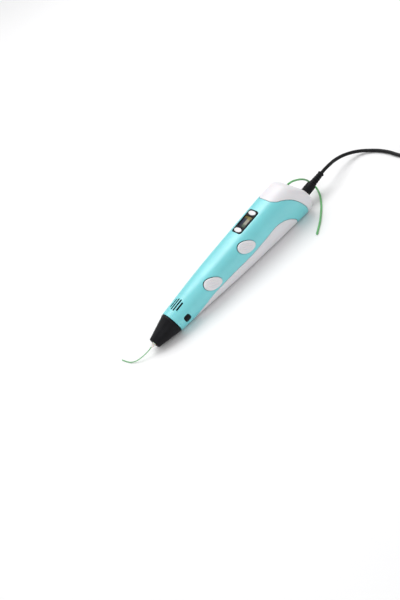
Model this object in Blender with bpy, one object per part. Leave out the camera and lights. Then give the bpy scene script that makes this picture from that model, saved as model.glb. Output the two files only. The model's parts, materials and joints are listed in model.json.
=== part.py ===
"""A hand-held pen that melts plastic filament, lying belly down on a table, its lead and filament plugged in.

The pen is modelled in its own frame and then tilted as one, so that its flat belly strip rests on the table.
Pen frame: X runs from the nozzle's tip to the rear end along the filament's path, +Z is the display's side,
-Y is the side with the two oval buttons. World frame: the table is Z = 0, with the pen centred on X and Y.
Sizes here are millimetres. The mesh builders turn them into metres.
"""

import math

import bmesh
import bpy
from mathutils import Vector

MM = 0.001
GAP = 0.3                     # between two pieces that touch on the real object
WALL = 2.0                    # thickness of the outer shells

# Outer form: x, top, bottom and half width of the cross-section at each station
STATIONS = [
    (26.0, 10.2, -10.0, 10.2),
    (60.0, 11.0, -14.9, 12.0),
    (100.0, 10.8, -21.4, 13.85),
    (140.0, 10.3, -27.3, 15.15),
    (165.0, 9.9, -30.9, 15.5),
    (187.0, 8.8, -34.1, 15.5),
]
ROUND_POWER = 2.05            # cross-section at the nozzle end: nearly a circle
SQUARE_POWER = 2.55           # cross-section from the middle on: a squarish oval
SQUARE_FROM, SQUARE_BY = 27.0, 90.0
BELLY_SLOPE = 0.145           # the flat belly strip falls this much for each millimetre of X
BELLY_X, BELLY_Z = 27.0, -10.3
FRONT = 26.4                  # where the shells begin, behind the nozzle cover
REAR_MID = 186.2              # furthest point of the rear face
REAR_LEAN_FROM = 148.0        # the cross-sections start to lean with the rear face here
REAR_ROUND = 4.0              # radius between the sides and the rear face
REAR_FACE = [                 # side view of the rear face, as z and x from the bottom up
    (-35.0, 178.5), (-31.0, 182.2), (-27.0, 184.9), (-22.0, 186.2), (-17.0, 186.2),
    (-11.0, 185.2), (-4.0, 182.6), (0.0, 180.2), (5.0, 177.2), (10.0, 175.2),
]
CAP_EDGE = [                  # side view of the parting line between shell and rear cap
    (154.2, 16.0), (154.2, 10.2), (155.6, 8.4), (158.3, 6.4), (162.3, 4.2), (166.6, 0.8),
    (170.7, -4.3), (174.3, -11.6), (176.9, -19.4), (178.0, -28.0), (178.3, -42.0),
]
LEAF_EDGE = [                 # side view of the parting line between shell and belly cover
    (38.5, -16.0), (42.0, -10.4), (47.5, -7.6), (56.0, -5.8), (68.0, -4.6), (90.0, -5.6),
    (112.0, -7.4), (130.0, -7.2), (142.0, -6.7), (149.0, -8.4), (155.0, -11.6), (160.4, -17.0),
    (163.6, -24.0), (164.8, -42.0),
]

# Nozzle end
TIP_RADIUS, TIP_HOLE = 1.5, 0.4
CONE_FRONT, CONE_REAR = 3.4, 26.0
CONE_SMALL, CONE_LARGE, CONE_WALL = 5.0, 10.0, 1.8
FILAMENT_RADIUS, PATH_BORE = 0.875, 1.15
LATCH_X, LATCH_SIDE = 36.0, 5.4
VENT_X, FAN_X, FAN_BLADES = 38.3, 38.2, 7

# Controls
BUTTON_X, BUTTON_Z = (70.5, 112.0), (3.2, 2.3)
BUTTON_LONG, BUTTON_SHORT, BUTTON_TILT = 8.3, 4.9, math.radians(-26)
BUTTON_PROUD = 0.8
DISPLAY_X, DISPLAY_LONG, DISPLAY_WIDE, DISPLAY_TOP = 129.0, 24.8, 10.6, 10.35
KEY_OFFSET, KEY_ALONG, KEY_ACROSS = 9.6, 2.65, 4.25
SLIDER_X, SLIDER_TRAVEL = 92.0, 4.0
BOARD_LOW, BOARD_HIGH = 3.4, 4.4

# Feeder
AXLE_X, AXLE_Z, HOB_RADIUS = 155.0, -4.9, 3.85
WORM_Y, WORM_Z, WORM_LEAD = 3.2, -12.6, 1.885
WHEEL_TEETH, WHEEL_TIP, WHEEL_ROOT = 16, 5.15, 4.0
LEVER_X, LEVER_Z = 161.0, 3.5

# Power inlet and cords
JACK_Z, PLUG_RADIUS = -22.0, 4.4
PLUG_FACE, PLUG_SHOULDER, RELIEF_END = 186.8, 200.5, 214.0
CORD_RADIUS = 1.6
COIL_X, COIL_Y = 207.8, -55.0
COIL_MIDDLE, COIL_TURNS = 19.2, 4.6875    # radius at the middle of the turns, and turns in each of two layers
COIL_INNER = COIL_MIDDLE - CORD_RADIUS * (COIL_TURNS + 1)
COIL_OUTER = COIL_MIDDLE + CORD_RADIUS * (COIL_TURNS + 1)
COIL_HEIGHT = 4 * CORD_RADIUS
USB_X, USB_Y, USB_Z = 243.8, -47.7, 4.2   # rear of the far plug's body, on its axis
SCREW_X = (52.0, 98.0, 146.0)  # world X, from the nozzle's tip

BELLY_ANGLE = math.atan(BELLY_SLOPE)
LIFT = (-BELLY_Z - BELLY_SLOPE * BELLY_X) * math.cos(BELLY_ANGLE)
HALF_LENGTH = 93.65           # world X of the nozzle's tip, behind the origin

BLUE = ("shell_blue", (0.30, 0.78, 0.86), 0.32, 0.0)
WHITE = ("white_plastic", (0.90, 0.88, 0.92), 0.35, 0.0)
BLACK = ("black_plastic", (0.02, 0.02, 0.024), 0.42, 0.0)
GREY = ("grey_plastic", (0.35, 0.36, 0.38), 0.5, 0.0)
SCREEN = ("screen_glass", (0.03, 0.05, 0.07), 0.12, 0.0)
CERAMIC = ("ceramic", (0.93, 0.92, 0.90), 0.3, 0.0)
STEEL = ("steel", (0.62, 0.63, 0.65), 0.3, 1.0)
BRASS = ("brass", (0.78, 0.60, 0.28), 0.35, 1.0)
BOARD = ("circuit_board", (0.03, 0.22, 0.10), 0.5, 0.0)
CLEAR = ("feed_tube_white", (0.86, 0.88, 0.86), 0.4, 0.0)
GREEN = ("filament_green", (0.10, 0.45, 0.14), 0.35, 0.0)
RUBBER = ("cord_black", (0.015, 0.015, 0.017), 0.55, 0.0)


def clear_scene():
    for thing in list(bpy.data.objects):
        bpy.data.objects.remove(thing, do_unlink=True)


def material(finish):
    name, colour, roughness, metallic = finish
    found = bpy.data.materials.get(name)
    if found:
        return found
    made = bpy.data.materials.new(name)
    made.use_nodes = True
    shader = made.node_tree.nodes["Principled BSDF"]
    shader.inputs["Base Color"].default_value = (*colour, 1.0)
    shader.inputs["Roughness"].default_value = roughness
    shader.inputs["Metallic"].default_value = metallic
    return made


# ---------------------------------------------------------------- mesh builders

def finish_mesh(name, bm, finish=None, origin=(0, 0, 0), parent=None):
    """Turn a bmesh in millimetres into an object in metres whose origin is the given point."""
    bmesh.ops.remove_doubles(bm, verts=bm.verts, dist=1e-5)
    bmesh.ops.recalc_face_normals(bm, faces=bm.faces)
    start = Vector(origin)
    for vertex in bm.verts:
        vertex.co = (vertex.co - start) * MM
    mesh = bpy.data.meshes.new(name)
    bm.to_mesh(mesh)
    bm.free()
    thing = bpy.data.objects.new(name, mesh)
    bpy.context.scene.collection.objects.link(thing)
    thing.location = start * MM
    thing.parent = parent
    if finish:
        mesh.materials.append(material(finish))
        mesh.shade_smooth()
        mesh.set_sharp_from_angle(angle=math.radians(35))
    else:
        thing.hide_render = True
        thing.display_type = "WIRE"
    return thing


def bridge_rings(bm, rings, closed_loop=False):
    """Join rings of points with quads. The ends are capped, or joined to each other for a hollow form."""
    made = [[bm.verts.new(p) for p in ring] for ring in rings]
    count = len(made[0])
    pairs = list(zip(made, made[1:]))
    if closed_loop:
        pairs.append((made[-1], made[0]))
    else:
        bm.faces.new(made[0])
        bm.faces.new(made[-1])
    for first, second in pairs:
        for i in range(count):
            j = (i + 1) % count
            bm.faces.new((first[i], first[j], second[j], second[i]))


def box(name, low, high, finish=None, origin=(0, 0, 0), parent=None):
    bm = bmesh.new()
    (x0, y0, z0), (x1, y1, z1) = low, high
    bridge_rings(bm, [[(x, y0, z0), (x, y1, z0), (x, y1, z1), (x, y0, z1)] for x in (x0, x1)])
    return finish_mesh(name, bm, finish, origin, parent)


def along(axis, distance, side, up):
    """A point at a distance along an axis, with two offsets across it."""
    if axis == "X":
        return (distance, side, up)
    if axis == "Y":
        return (side, distance, up)
    return (side, up, distance)


def turned(name, profile, finish=None, axis="X", centre=(0, 0), steps=20, hollow=False,
           origin=(0, 0, 0), parent=None):
    """Turn a profile of (distance along the axis, radius) pairs. A hollow profile is a closed loop."""
    bm = bmesh.new()
    side, up = centre
    circle = [(math.cos(2 * math.pi * i / steps), math.sin(2 * math.pi * i / steps)) for i in range(steps)]
    rings = [[along(axis, d, side + r * c, up + r * s) for c, s in circle] for d, r in profile]
    bridge_rings(bm, rings, closed_loop=hollow)
    return finish_mesh(name, bm, finish, origin, parent)


def tube(name, start, end, outer, inner, finish, **where):
    profile = [(start, outer), (end, outer), (end, inner), (start, inner)]
    return turned(name, profile, finish, hollow=True, **where)


def prism(name, outline, low, high, finish=None, axis="Y", origin=(0, 0, 0), parent=None):
    """Extrude an outline of (side, up) pairs along an axis."""
    bm = bmesh.new()
    bridge_rings(bm, [[along(axis, d, *p) for p in outline] for d in (low, high)])
    return finish_mesh(name, bm, finish, origin, parent)


def oval(centre, long_radius, short_radius, tilt=0.0, steps=28):
    points = []
    for i in range(steps):
        a = 2 * math.pi * i / steps
        u, v = long_radius * math.cos(a), short_radius * math.sin(a)
        points.append((
            centre[0] + u * math.cos(tilt) - v * math.sin(tilt),
            centre[1] + u * math.sin(tilt) + v * math.cos(tilt),
        ))
    return points


def rounded_rectangle(centre, width, height, radius, steps=4):
    points = []
    corners = [(1, 1, 0), (-1, 1, 90), (-1, -1, 180), (1, -1, 270)]
    for sx, sy, turn in corners:
        cx = centre[0] + sx * (width / 2 - radius)
        cy = centre[1] + sy * (height / 2 - radius)
        for i in range(steps + 1):
            a = math.radians(turn + 90 * i / steps)
            points.append((cx + radius * math.cos(a), cy + radius * math.sin(a)))
    return points


def cut(target, cutter, operation="DIFFERENCE"):
    modifier = target.modifiers.new(cutter.name, "BOOLEAN")
    modifier.operation = operation
    modifier.object = cutter
    modifier.solver = "EXACT"
    return target


# ---------------------------------------------------------------- outer form

def hermite(x, knots, values):
    """Smooth curve through the knots, with the slope at each knot taken from its neighbours."""
    last = len(knots) - 1
    i = max(0, min(last - 1, sum(1 for k in knots if k <= x) - 1))

    def slope(k):
        a, b = max(0, k - 1), min(last, k + 1)
        return (values[b] - values[a]) / (knots[b] - knots[a])

    step = knots[i + 1] - knots[i]
    t = (x - knots[i]) / step
    return (
        values[i] * (2 * t**3 - 3 * t**2 + 1) + slope(i) * step * (t**3 - 2 * t**2 + t)
        + values[i + 1] * (-2 * t**3 + 3 * t**2) + slope(i + 1) * step * (t**3 - t**2)
    )


def smooth_outline(points, per_span=3):
    """A smooth open line through the points."""
    knots = list(range(len(points)))
    total = (len(points) - 1) * per_span
    return [
        tuple(hermite(i / per_span, knots, [p[k] for p in points]) for k in (0, 1)) for i in range(total + 1)
    ]


def section_ring(x, inset=0.0, shrink=1.0, rear_at=None, count=32):
    """Points round the pen at X, moved in by an inset, and leaning with the rear face near the rear end."""
    knots = [s[0] for s in STATIONS]
    top, bottom, half = [hermite(x, knots, [s[k] for s in STATIONS]) for k in (1, 2, 3)]
    top, bottom, half = top - inset, bottom + inset, half - inset
    t = max(0.0, min(1.0, (x - SQUARE_FROM) / (SQUARE_BY - SQUARE_FROM)))
    power = ROUND_POWER + (SQUARE_POWER - ROUND_POWER) * (3 * t**2 - 2 * t**3)
    middle, rise = (top + bottom) / 2, (top - bottom) / 2
    lean = max(0.0, (x - REAR_LEAN_FROM) / (REAR_MID - REAR_LEAN_FROM)) ** 2
    heights, faces = [f[0] for f in REAR_FACE], [f[1] for f in REAR_FACE]
    ring = []
    for i in range(count):
        a = 2 * math.pi * (i + 0.5) / count
        c, s = math.cos(a), math.sin(a)
        y = shrink * half * math.copysign(abs(c) ** (2 / power), c)
        z = middle + shrink * rise * math.copysign(abs(s) ** (2 / power), s)
        face = hermite(z, heights, faces)
        px = face - rear_at if rear_at is not None else x + lean * (face - REAR_MID)
        floor = BELLY_Z - BELLY_SLOPE * (px - BELLY_X) + (inset if inset > 0 else 0)
        ring.append((px, y, max(z, floor)))
    return ring


def skin_rings(inset, stations, rear_round):
    rings = [section_ring(x, inset) for x in stations]
    for step in range(1, 4):
        a = math.radians(30 * step)
        shrink = 1 - rear_round * (1 - math.cos(a)) / 17.0
        back = inset + rear_round * (1 - math.sin(a))
        rings.append(section_ring(REAR_MID, inset, shrink, rear_at=back))
    for shrink in (0.45, 0.12):
        rings.append(section_ring(REAR_MID, inset, shrink, rear_at=inset))
    return rings


def hull(name, finish=None, parent=None):
    """The whole outer wall as one cup, open at the nozzle end."""
    outer_at = [FRONT, 32, 39, 47, 56, 66, 77, 89, 101, 113, 125, 137, 148, 157, 165, 172, 177.5, 182]
    inner_at = [FRONT, 40, 56, 72, 90, 110, 130, 148, 160, 170, 178]
    outer = skin_rings(0.0, outer_at, REAR_ROUND)
    inner = skin_rings(WALL, inner_at, REAR_ROUND - 1.5)
    bm = bmesh.new()
    bridge_rings(bm, outer[::-1] + inner)
    return finish_mesh(name, bm, finish, parent=parent)


def swell(name, by, parent):
    """A solid that stands proud of the outer wall by a little, for cutting button caps to its curve."""
    bm = bmesh.new()
    bridge_rings(bm, [section_ring(x, -by) for x in (30, 45, 60, 75, 90, 105, 120, 135, 145)])
    return finish_mesh(name, bm, parent=parent)


def cap_region(name, offset, parent):
    line = [(x + offset, z) for x, z in smooth_outline(CAP_EDGE)]
    return prism(name, line + [(200.0, -42.0), (200.0, 16.0)], -20, 20, parent=parent)


def leaf_region(name, offset, parent):
    """The belly cover's outline, moved in by an offset."""
    line = smooth_outline(LEAF_EDGE)
    middle = (LEAF_EDGE[0][0] + LEAF_EDGE[-1][0]) / 2
    moved = []
    for i, (x, z) in enumerate(line):
        a, b = line[max(0, i - 1)], line[min(len(line) - 1, i + 1)]
        run, rise = b[0] - a[0], b[1] - a[1]
        size = math.hypot(run, rise)
        moved.append((x + offset * rise / size, z - offset * run / size))
    moved[0] = (moved[0][0], moved[0][1] - 20)
    return prism(name, moved + [(middle, -60.0)], -20, 20, parent=parent)


def shells(pen):
    body = hull("body_shell", BLUE, pen)
    cut(body, cap_region("cap_cutter", -GAP / 2, pen))
    cut(body, leaf_region("leaf_cutter", -GAP / 2, pen))
    cut(body, vent_slots(pen))
    latch_outline = rounded_rectangle((LATCH_X, 0), LATCH_SIDE + 0.6, LATCH_SIDE + 0.4, 1.3)
    cut(body, prism("latch_hole", latch_outline, -14, -6, parent=pen))
    for k, (x, z) in enumerate(zip(BUTTON_X, BUTTON_Z)):
        outline = oval((x, z), BUTTON_LONG + GAP, BUTTON_SHORT + GAP, BUTTON_TILT)
        cut(body, prism(f"button_hole_{k}", outline, -20, -5, parent=pen))
    window = rounded_rectangle((DISPLAY_X, 0), DISPLAY_LONG + 2 * GAP, DISPLAY_WIDE + 2 * GAP, 1.3)
    cut(body, prism("display_hole", window, 5, 16, axis="Z", parent=pen))
    slot = rounded_rectangle((SLIDER_X, 0), 2 * SLIDER_TRAVEL + 4.4, 2.8, 1.3)
    cut(body, prism("slider_slot", slot, 9, 18, parent=pen))

    cover = cut(hull("belly_cover", WHITE, pen), leaf_region("leaf_keeper", GAP / 2, pen), "INTERSECT")
    for k, x in enumerate(SCREW_X):
        well = [(-1.0, 2.2), (1.1, 2.2), (1.1, 1.2), (9.0, 1.2)]
        cut(cover, turned(f"screw_well_{k}", well, axis="Z", centre=(x - HALF_LENGTH, 0)))

    cap = cut(hull("rear_cap", WHITE, pen), cap_region("cap_keeper", GAP / 2, pen), "INTERSECT")
    cut(cap, turned("filament_inlet", [(165, 1.5), (200, 1.5)], parent=pen))
    cut(cap, turned("power_inlet", [(165, 2.4), (200, 2.4)], centre=(0, JACK_Z), parent=pen))


def vent_slots(pen):
    """Four slots side by side on the top, the outer two shorter."""
    bm = bmesh.new()
    for y, length in ((-3.75, 8.4), (-1.25, 11.4), (1.25, 11.4), (3.75, 8.4)):
        outline = rounded_rectangle((VENT_X, y), length, 0.95, 0.45, steps=3)
        bridge_rings(bm, [[(px, py, z) for px, py in outline] for z in (7.0, 13.0)])
    return finish_mesh("vent_cutter", bm, parent=pen)


def shell_screws():
    for k, x in enumerate(SCREW_X):
        profile = [(0.15, 1.2), (0.3, 1.8), (0.8, 1.8), (0.8, 0.9), (6.0, 0.9), (6.6, 0.3)]
        turned(f"shell_screw_{k + 1}", profile, STEEL, axis="Z", centre=(x - HALF_LENGTH, 0), steps=16)


# ---------------------------------------------------------------- nozzle end

def nozzle_unit(pen):
    """The part that pulls off forward for cleaning: cover, ceramic tip, heater and its plug."""
    outer = [
        (CONE_FRONT, CONE_SMALL - 0.5), (CONE_FRONT + 0.5, CONE_SMALL),
        (CONE_REAR - 2.0, CONE_LARGE - 0.35), (CONE_REAR - 0.6, CONE_LARGE), (CONE_REAR, CONE_LARGE - 0.3),
    ]
    spigot = [(CONE_REAR, 7.9), (31.0, 7.9), (31.0, 6.5), (CONE_REAR - 1, 6.5)]
    inner = [
        (CONE_REAR - 2.5, CONE_LARGE - CONE_WALL - 0.6), (6.2, CONE_SMALL - 1.2),
        (4.6, 2.4), (CONE_FRONT, 2.4),
    ]
    turned("nozzle_cover", outer + spigot + inner, BLACK, steps=32, hollow=True, parent=pen)
    tip = [
        (0.0, 0.9), (0.5, TIP_RADIUS), (4.9, TIP_RADIUS), (6.5, 2.1), (9.0, 2.1), (9.0, PATH_BORE),
        (4.0, PATH_BORE), (2.6, TIP_HOLE), (0.0, TIP_HOLE),
    ]
    turned("ceramic_nozzle", tip, CERAMIC, steps=16, hollow=True, parent=pen)
    tube("heater_barrel", 9.3, 29.7, 2.0, PATH_BORE, STEEL, parent=pen)
    tube("heater_sleeve", 11.0, 24.0, 3.6, 2.3, CLEAR, parent=pen)
    plug = [
        (27.0, 6.2), (29.7, 6.2), (29.7, 2.8), (41.0, 2.8),
        (41.0, PATH_BORE), (30.0, PATH_BORE), (30.0, 2.3), (27.0, 2.3),
    ]
    turned("nozzle_plug", plug, GREY, steps=16, hollow=True, parent=pen)


def latch(pen):
    outline = rounded_rectangle((LATCH_X, 0), LATCH_SIDE, LATCH_SIDE - 0.2, 1.1)
    button = prism("nozzle_latch", outline, -16, -6.4, BLACK, origin=(LATCH_X, -8, 0), parent=pen)
    cut(button, swell("latch_swell", 0.35, pen), "INTERSECT")
    pocket = [(-9.2, 1.75), (-5.0, 1.75)]
    cut(button, turned("spring_pocket", pocket, axis="Y", centre=(LATCH_X, 0), parent=pen))
    helix("latch_spring", (LATCH_X, -4.35, 0), (LATCH_X, -8.0, 0), 1.25, 0.2, 4, STEEL, pen)


def helix(name, start, end, radius, wire, turns, finish, parent, side=(1, 0, 0)):
    """A round wire wound from start to end."""
    start, end = Vector(start), Vector(end)
    axis = (end - start).normalized()
    first = Vector(side)
    second = axis.cross(first)
    rise = (end - start).length
    steps = 8 * turns
    bm = bmesh.new()
    rings = []
    for i in range(steps + 1):
        a = 2 * math.pi * turns * i / steps
        out = first * math.cos(a) + second * math.sin(a)
        centre = start + axis * (rise * i / steps) + out * radius
        rings.append([
            centre + out * wire * math.cos(b) + axis * wire * math.sin(b)
            for b in (math.pi * k / 2 for k in range(4))
        ])
    bridge_rings(bm, rings)
    return finish_mesh(name, bm, finish, parent=parent)


def front_internals(pen):
    tube("nozzle_socket", 31.6, 50.0, 3.9, 3.1, GREY, parent=pen)
    frame = box("fan_housing", (33.4, -4.8, 4.2), (43.0, 4.8, 6.6), BLACK, parent=pen)
    cut(frame, turned("fan_bore", [(3.0, 4.3), (8.0, 4.3)], axis="Z", centre=(FAN_X, 0), parent=pen))
    fan_rotor(pen)
    tube("feed_tube", 50.3, 148.5, 2.0, PATH_BORE, CLEAR, steps=16, parent=pen)


def fan_rotor(pen):
    """A hub with seven blades, turning about the pen's Z."""
    centre = Vector((FAN_X, 0, 0))
    hub = turned(
        "fan_rotor", [(4.5, 1.7), (6.3, 1.7)], BLACK, axis="Z", centre=(FAN_X, 0), steps=21,
        origin=(FAN_X, 0, 5.4), parent=pen,
    )
    for k in range(FAN_BLADES):
        a = 2 * math.pi * k / FAN_BLADES
        across = Vector((-math.sin(a), math.cos(a), 0)) * 0.8
        out = Vector((math.cos(a), math.sin(a), 0))
        bm = bmesh.new()
        rings = []
        for radius in (1.2, 3.9):
            point = centre + out * radius
            low, high = point - across + Vector((0, 0, 4.7)), point + across + Vector((0, 0, 5.9))
            rings.append([low, high, high + Vector((0, 0, 0.35)), low + Vector((0, 0, 0.35))])
        bridge_rings(bm, rings)
        cut(hub, finish_mesh(f"fan_blade_{k}", bm, parent=pen), "UNION")


# ---------------------------------------------------------------- controls

def side_buttons(pen):
    names = ("feed_button", "retract_button")
    for k, (name, x, z) in enumerate(zip(names, BUTTON_X, BUTTON_Z)):
        outline = oval((x, z), BUTTON_LONG, BUTTON_SHORT, BUTTON_TILT)
        deep = -8.9 if k == 0 else -10.9
        cap = prism(name, outline, -20, deep, WHITE, origin=(x, deep, z), parent=pen)
        cut(cap, swell(f"{name}_swell", BUTTON_PROUD, pen), "INTERSECT")
        face = deep + 1.2
        low, high = (x - 3, face, z - 3.6), (x + 3, face + 3.5, z + 0.1)
        box(name.replace("button", "switch"), low, high, GREY, parent=pen)


def display(pen):
    frame = prism(
        "display_bezel", rounded_rectangle((DISPLAY_X, 0), DISPLAY_LONG, DISPLAY_WIDE, 1.0),
        8.5, DISPLAY_TOP, BLACK, axis="Z", parent=pen,
    )
    window = [(DISPLAY_X + 5.9 * sx, 4.3 * sy) for sx, sy in ((-1, -1), (1, -1), (1, 1), (-1, 1))]
    cut(frame, prism("window_hole", window, 6, 12, axis="Z", parent=pen))
    box("display_module", (DISPLAY_X - 5.5, -4.0, 4.7), (DISPLAY_X + 5.5, 4.0, 9.9), SCREEN, parent=pen)
    for name, side in (("temp_down_key", -1), ("temp_up_key", 1)):
        x = DISPLAY_X + side * KEY_OFFSET
        hole = oval((x, 0), KEY_ALONG + GAP, KEY_ACROSS + GAP)
        cut(frame, prism(f"{name}_hole", hole, 6, 12, axis="Z", parent=pen))
        shape = oval((x, 0), KEY_ALONG, KEY_ACROSS)
        prism(name, shape, 7.4, DISPLAY_TOP + 0.4, WHITE, axis="Z", origin=(x, 0, 7.4), parent=pen)
        box(f"{name}_switch", (x - 2, -2.2, 4.7), (x + 2, 2.2, 6.5), GREY, parent=pen)


def speed_slider(pen):
    """Knob on the far side: a pad outside the shell on a stem that runs in the slot."""
    x = SLIDER_X
    outline = rounded_rectangle((x, 0), 6.4, 5.2, 1.2)
    pad = prism("speed_slider", outline, 13.8, 15.2, WHITE, origin=(x, 12, 0), parent=pen)
    cut(pad, box("slider_stem", (x - 1.6, 10.3, -1.0), (x + 1.6, 14.3, 1.0), parent=pen), "UNION")
    box("slide_potentiometer", (x - 9, 7.0, -2.4), (x + 9, 9.9, 2.4), GREY, parent=pen)


def boards(pen):
    box("main_board", (58.0, -6.4, BOARD_LOW), (147.0, 6.4, BOARD_HIGH), BOARD, parent=pen)
    chip_low, chip_high = (96.0, -3.5, BOARD_HIGH + GAP), (103.0, 3.5, BOARD_HIGH + GAP + 1.0)
    box("control_chip", chip_low, chip_high, BLACK, parent=pen)


# ---------------------------------------------------------------- feeder

def feeder(pen):
    frame = box("feeder_frame", (149.6, -5.6, -8.8), (165.6, 6.9, 5.6), GREY, parent=pen)
    cut(frame, box("frame_inside", (140.0, -3.7, -14.0), (163.6, 5.2, 9.0), parent=pen))
    cut(frame, turned("frame_path", [(160, 1.6), (170, 1.6)], parent=pen))
    on_axle = {"axis": "Y", "centre": (AXLE_X, AXLE_Z), "parent": pen}
    on_pivot = {"axis": "Y", "centre": (LEVER_X, LEVER_Z), "parent": pen}
    cut(frame, turned("axle_holes", [(-9, 1.3), (9, 1.3)], **on_axle))
    cut(frame, turned("pivot_holes", [(-9, 1.1), (9, 1.1)], **on_pivot))

    axle = [(-6.4, 1.2), (-1.2, 1.2), (-1.2, HOB_RADIUS), (1.2, HOB_RADIUS), (1.2, 1.2), (7.7, 1.2)]
    turned("drive_axle", axle, STEEL, steps=24, origin=(AXLE_X, 0, AXLE_Z), **on_axle)
    wheel = prism("worm_wheel", gear_outline(), 1.7, 4.7, WHITE, origin=(AXLE_X, 3.2, AXLE_Z), parent=pen)
    cut(wheel, turned("wheel_bore", [(0, 1.5), (7, 1.5)], **on_axle))
    worm(pen)
    gearbox = prism("motor_gearbox", motor_outline(), 136.3, 145.3, BRASS, axis="X", parent=pen)
    cut(gearbox, turned("gearbox_bore", [(142.0, 1.15), (150.0, 1.15)], centre=(WORM_Y, WORM_Z), parent=pen))
    prism("motor_can", motor_outline(round_ends=True), 121.0, 136.0, STEEL, axis="X", parent=pen)

    arm_low, arm_high = (147.6, 1.4, LEVER_Z - 1.3), (LEVER_X + 1.9, 3.0, LEVER_Z + 1.3)
    lever = box("idler_lever", arm_low, arm_high, BLACK, origin=(LEVER_X, 0, LEVER_Z), parent=pen)
    on_bearing = {"axis": "Y", "centre": (AXLE_X, LEVER_Z), "parent": pen}
    cut(lever, turned("bearing_pin", [(-1.3, 0.7), (2.0, 0.7)], steps=16, **on_bearing), "UNION")
    cut(lever, turned("lever_bore", [(0, 1.05), (5, 1.05)], **on_pivot))
    tube("idler_bearing", -1.0, 1.0, 2.35, 0.85, STEEL, origin=(AXLE_X, 0, LEVER_Z), **on_bearing)
    turned("idler_pin", [(-5.4, 0.8), (6.7, 0.8)], STEEL, steps=16, **on_pivot)
    helix("idler_spring", (149.0, 2.2, LEVER_Z + 1.65), (149.0, 2.2, 7.5), 0.9, 0.18, 3, STEEL, pen)
    tube("inlet_guide", 165.9, 175.4, 2.6, PATH_BORE, CLEAR, parent=pen)


def gear_outline():
    """Teeth with straight flanks, one gap centred straight down where the worm's thread enters."""
    points = []
    step = 2 * math.pi / WHEEL_TEETH
    for k in range(WHEEL_TEETH):
        middle = -math.pi / 2 + (k + 0.5) * step
        for radius, share in ((WHEEL_ROOT, -0.30), (WHEEL_TIP, -0.13), (WHEEL_TIP, 0.13), (WHEEL_ROOT, 0.30)):
            a = middle + share * step
            points.append((AXLE_X + radius * math.cos(a), AXLE_Z + radius * math.sin(a)))
    return points


def worm(pen):
    """Shaft with a helical thread whose profile is centred under the drive axle."""
    steps, turns = 12, 4
    sunk, root, tip = 1.4, 1.9, 2.95
    half_base, half_tip = 0.44, 0.2
    profile = [
        (-half_base, sunk), (-half_base, root), (-half_tip, tip),
        (half_tip, tip), (half_base, root), (half_base, sunk),
    ]
    start = AXLE_X - turns / 2 * WORM_LEAD
    thread_bm = bmesh.new()
    rings = []
    for i in range(steps * turns + 1):
        # the thread's crest passes straight up, towards the wheel, at whole turns from the middle
        a = math.pi / 2 + 2 * math.pi * (i / steps - turns / 2)
        x = start + WORM_LEAD * i / steps
        rings.append([(x + dx, WORM_Y + r * math.cos(a), WORM_Z + r * math.sin(a)) for dx, r in profile])
    bridge_rings(thread_bm, rings)
    thread = finish_mesh("worm_thread", thread_bm, parent=pen)
    shaft = [(142.4, 0.85), (147.6, 0.85), (147.6, root), (162.4, root), (162.4, 0.9), (163.0, 0.9)]
    middle = (AXLE_X, WORM_Y, WORM_Z)
    core = turned("motor_worm", shaft, BRASS, centre=(WORM_Y, WORM_Z), steps=16, origin=middle, parent=pen)
    cut(core, thread, "UNION")


def motor_outline(round_ends=False):
    """Flat-sided motor: 10 wide, 12 high."""
    radius = 3.6 if round_ends else 0.8
    return rounded_rectangle((WORM_Y, WORM_Z), 10.0, 12.0, radius)


# ---------------------------------------------------------------- filament, plug and cords

def power_parts(pen):
    jack = box("dc_jack", (169.0, -4.5, JACK_Z - 4.6), (181.2, 4.5, JACK_Z + 5.0), BLACK, parent=pen)
    cut(jack, turned("jack_bore", [(174.0, 2.3), (190.0, 2.3)], centre=(0, JACK_Z), parent=pen))
    body = [
        (174.6, 1.2), (175.0, 1.9), (PLUG_FACE, 1.9),
        (PLUG_FACE, PLUG_RADIUS - 0.3), (PLUG_FACE + 0.4, PLUG_RADIUS),
        (PLUG_SHOULDER - 0.8, PLUG_RADIUS - 0.2), (PLUG_SHOULDER, PLUG_RADIUS - 1.0),
    ]
    turned("dc_plug", body, BLACK, centre=(0, JACK_Z), parent=pen)
    relief = [(PLUG_SHOULDER + GAP, 3.2), (RELIEF_END, 2.5)]
    turned("plug_strain_relief", relief, BLACK, centre=(0, JACK_Z), parent=pen)


def filament_parts(pen):
    turned("filament", [(10.0, FILAMENT_RADIUS), (180.6, FILAMENT_RADIUS)], GREEN, steps=12, parent=pen)


def to_world(x, y, z):
    """A point of the pen frame in the world frame, in millimetres."""
    c, s = math.cos(BELLY_ANGLE), math.sin(BELLY_ANGLE)
    return (x * c - z * s - HALF_LENGTH, y, x * s + z * c + LIFT)


def cable(name, route, radius, finish, spacing):
    """A round tube along a smooth curve through the route's points, in world millimetres."""
    knots = [0.0]
    for a, b in zip(route, route[1:]):
        knots.append(knots[-1] + (Vector(b) - Vector(a)).length)
    count = max(8, round(knots[-1] / spacing))
    curve = bpy.data.curves.new(name, "CURVE")
    curve.dimensions = "3D"
    curve.bevel_depth = radius * MM
    curve.bevel_resolution = 2
    curve.use_fill_caps = True
    spline = curve.splines.new("POLY")
    spline.points.add(count)
    for i, point in enumerate(spline.points):
        at = knots[-1] * i / count
        point.co = (*(hermite(at, knots, [p[k] for p in route]) * MM for k in range(3)), 1.0)
    curve.materials.append(material(finish))
    thing = bpy.data.objects.new(name, curve)
    bpy.context.scene.collection.objects.link(thing)


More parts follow.
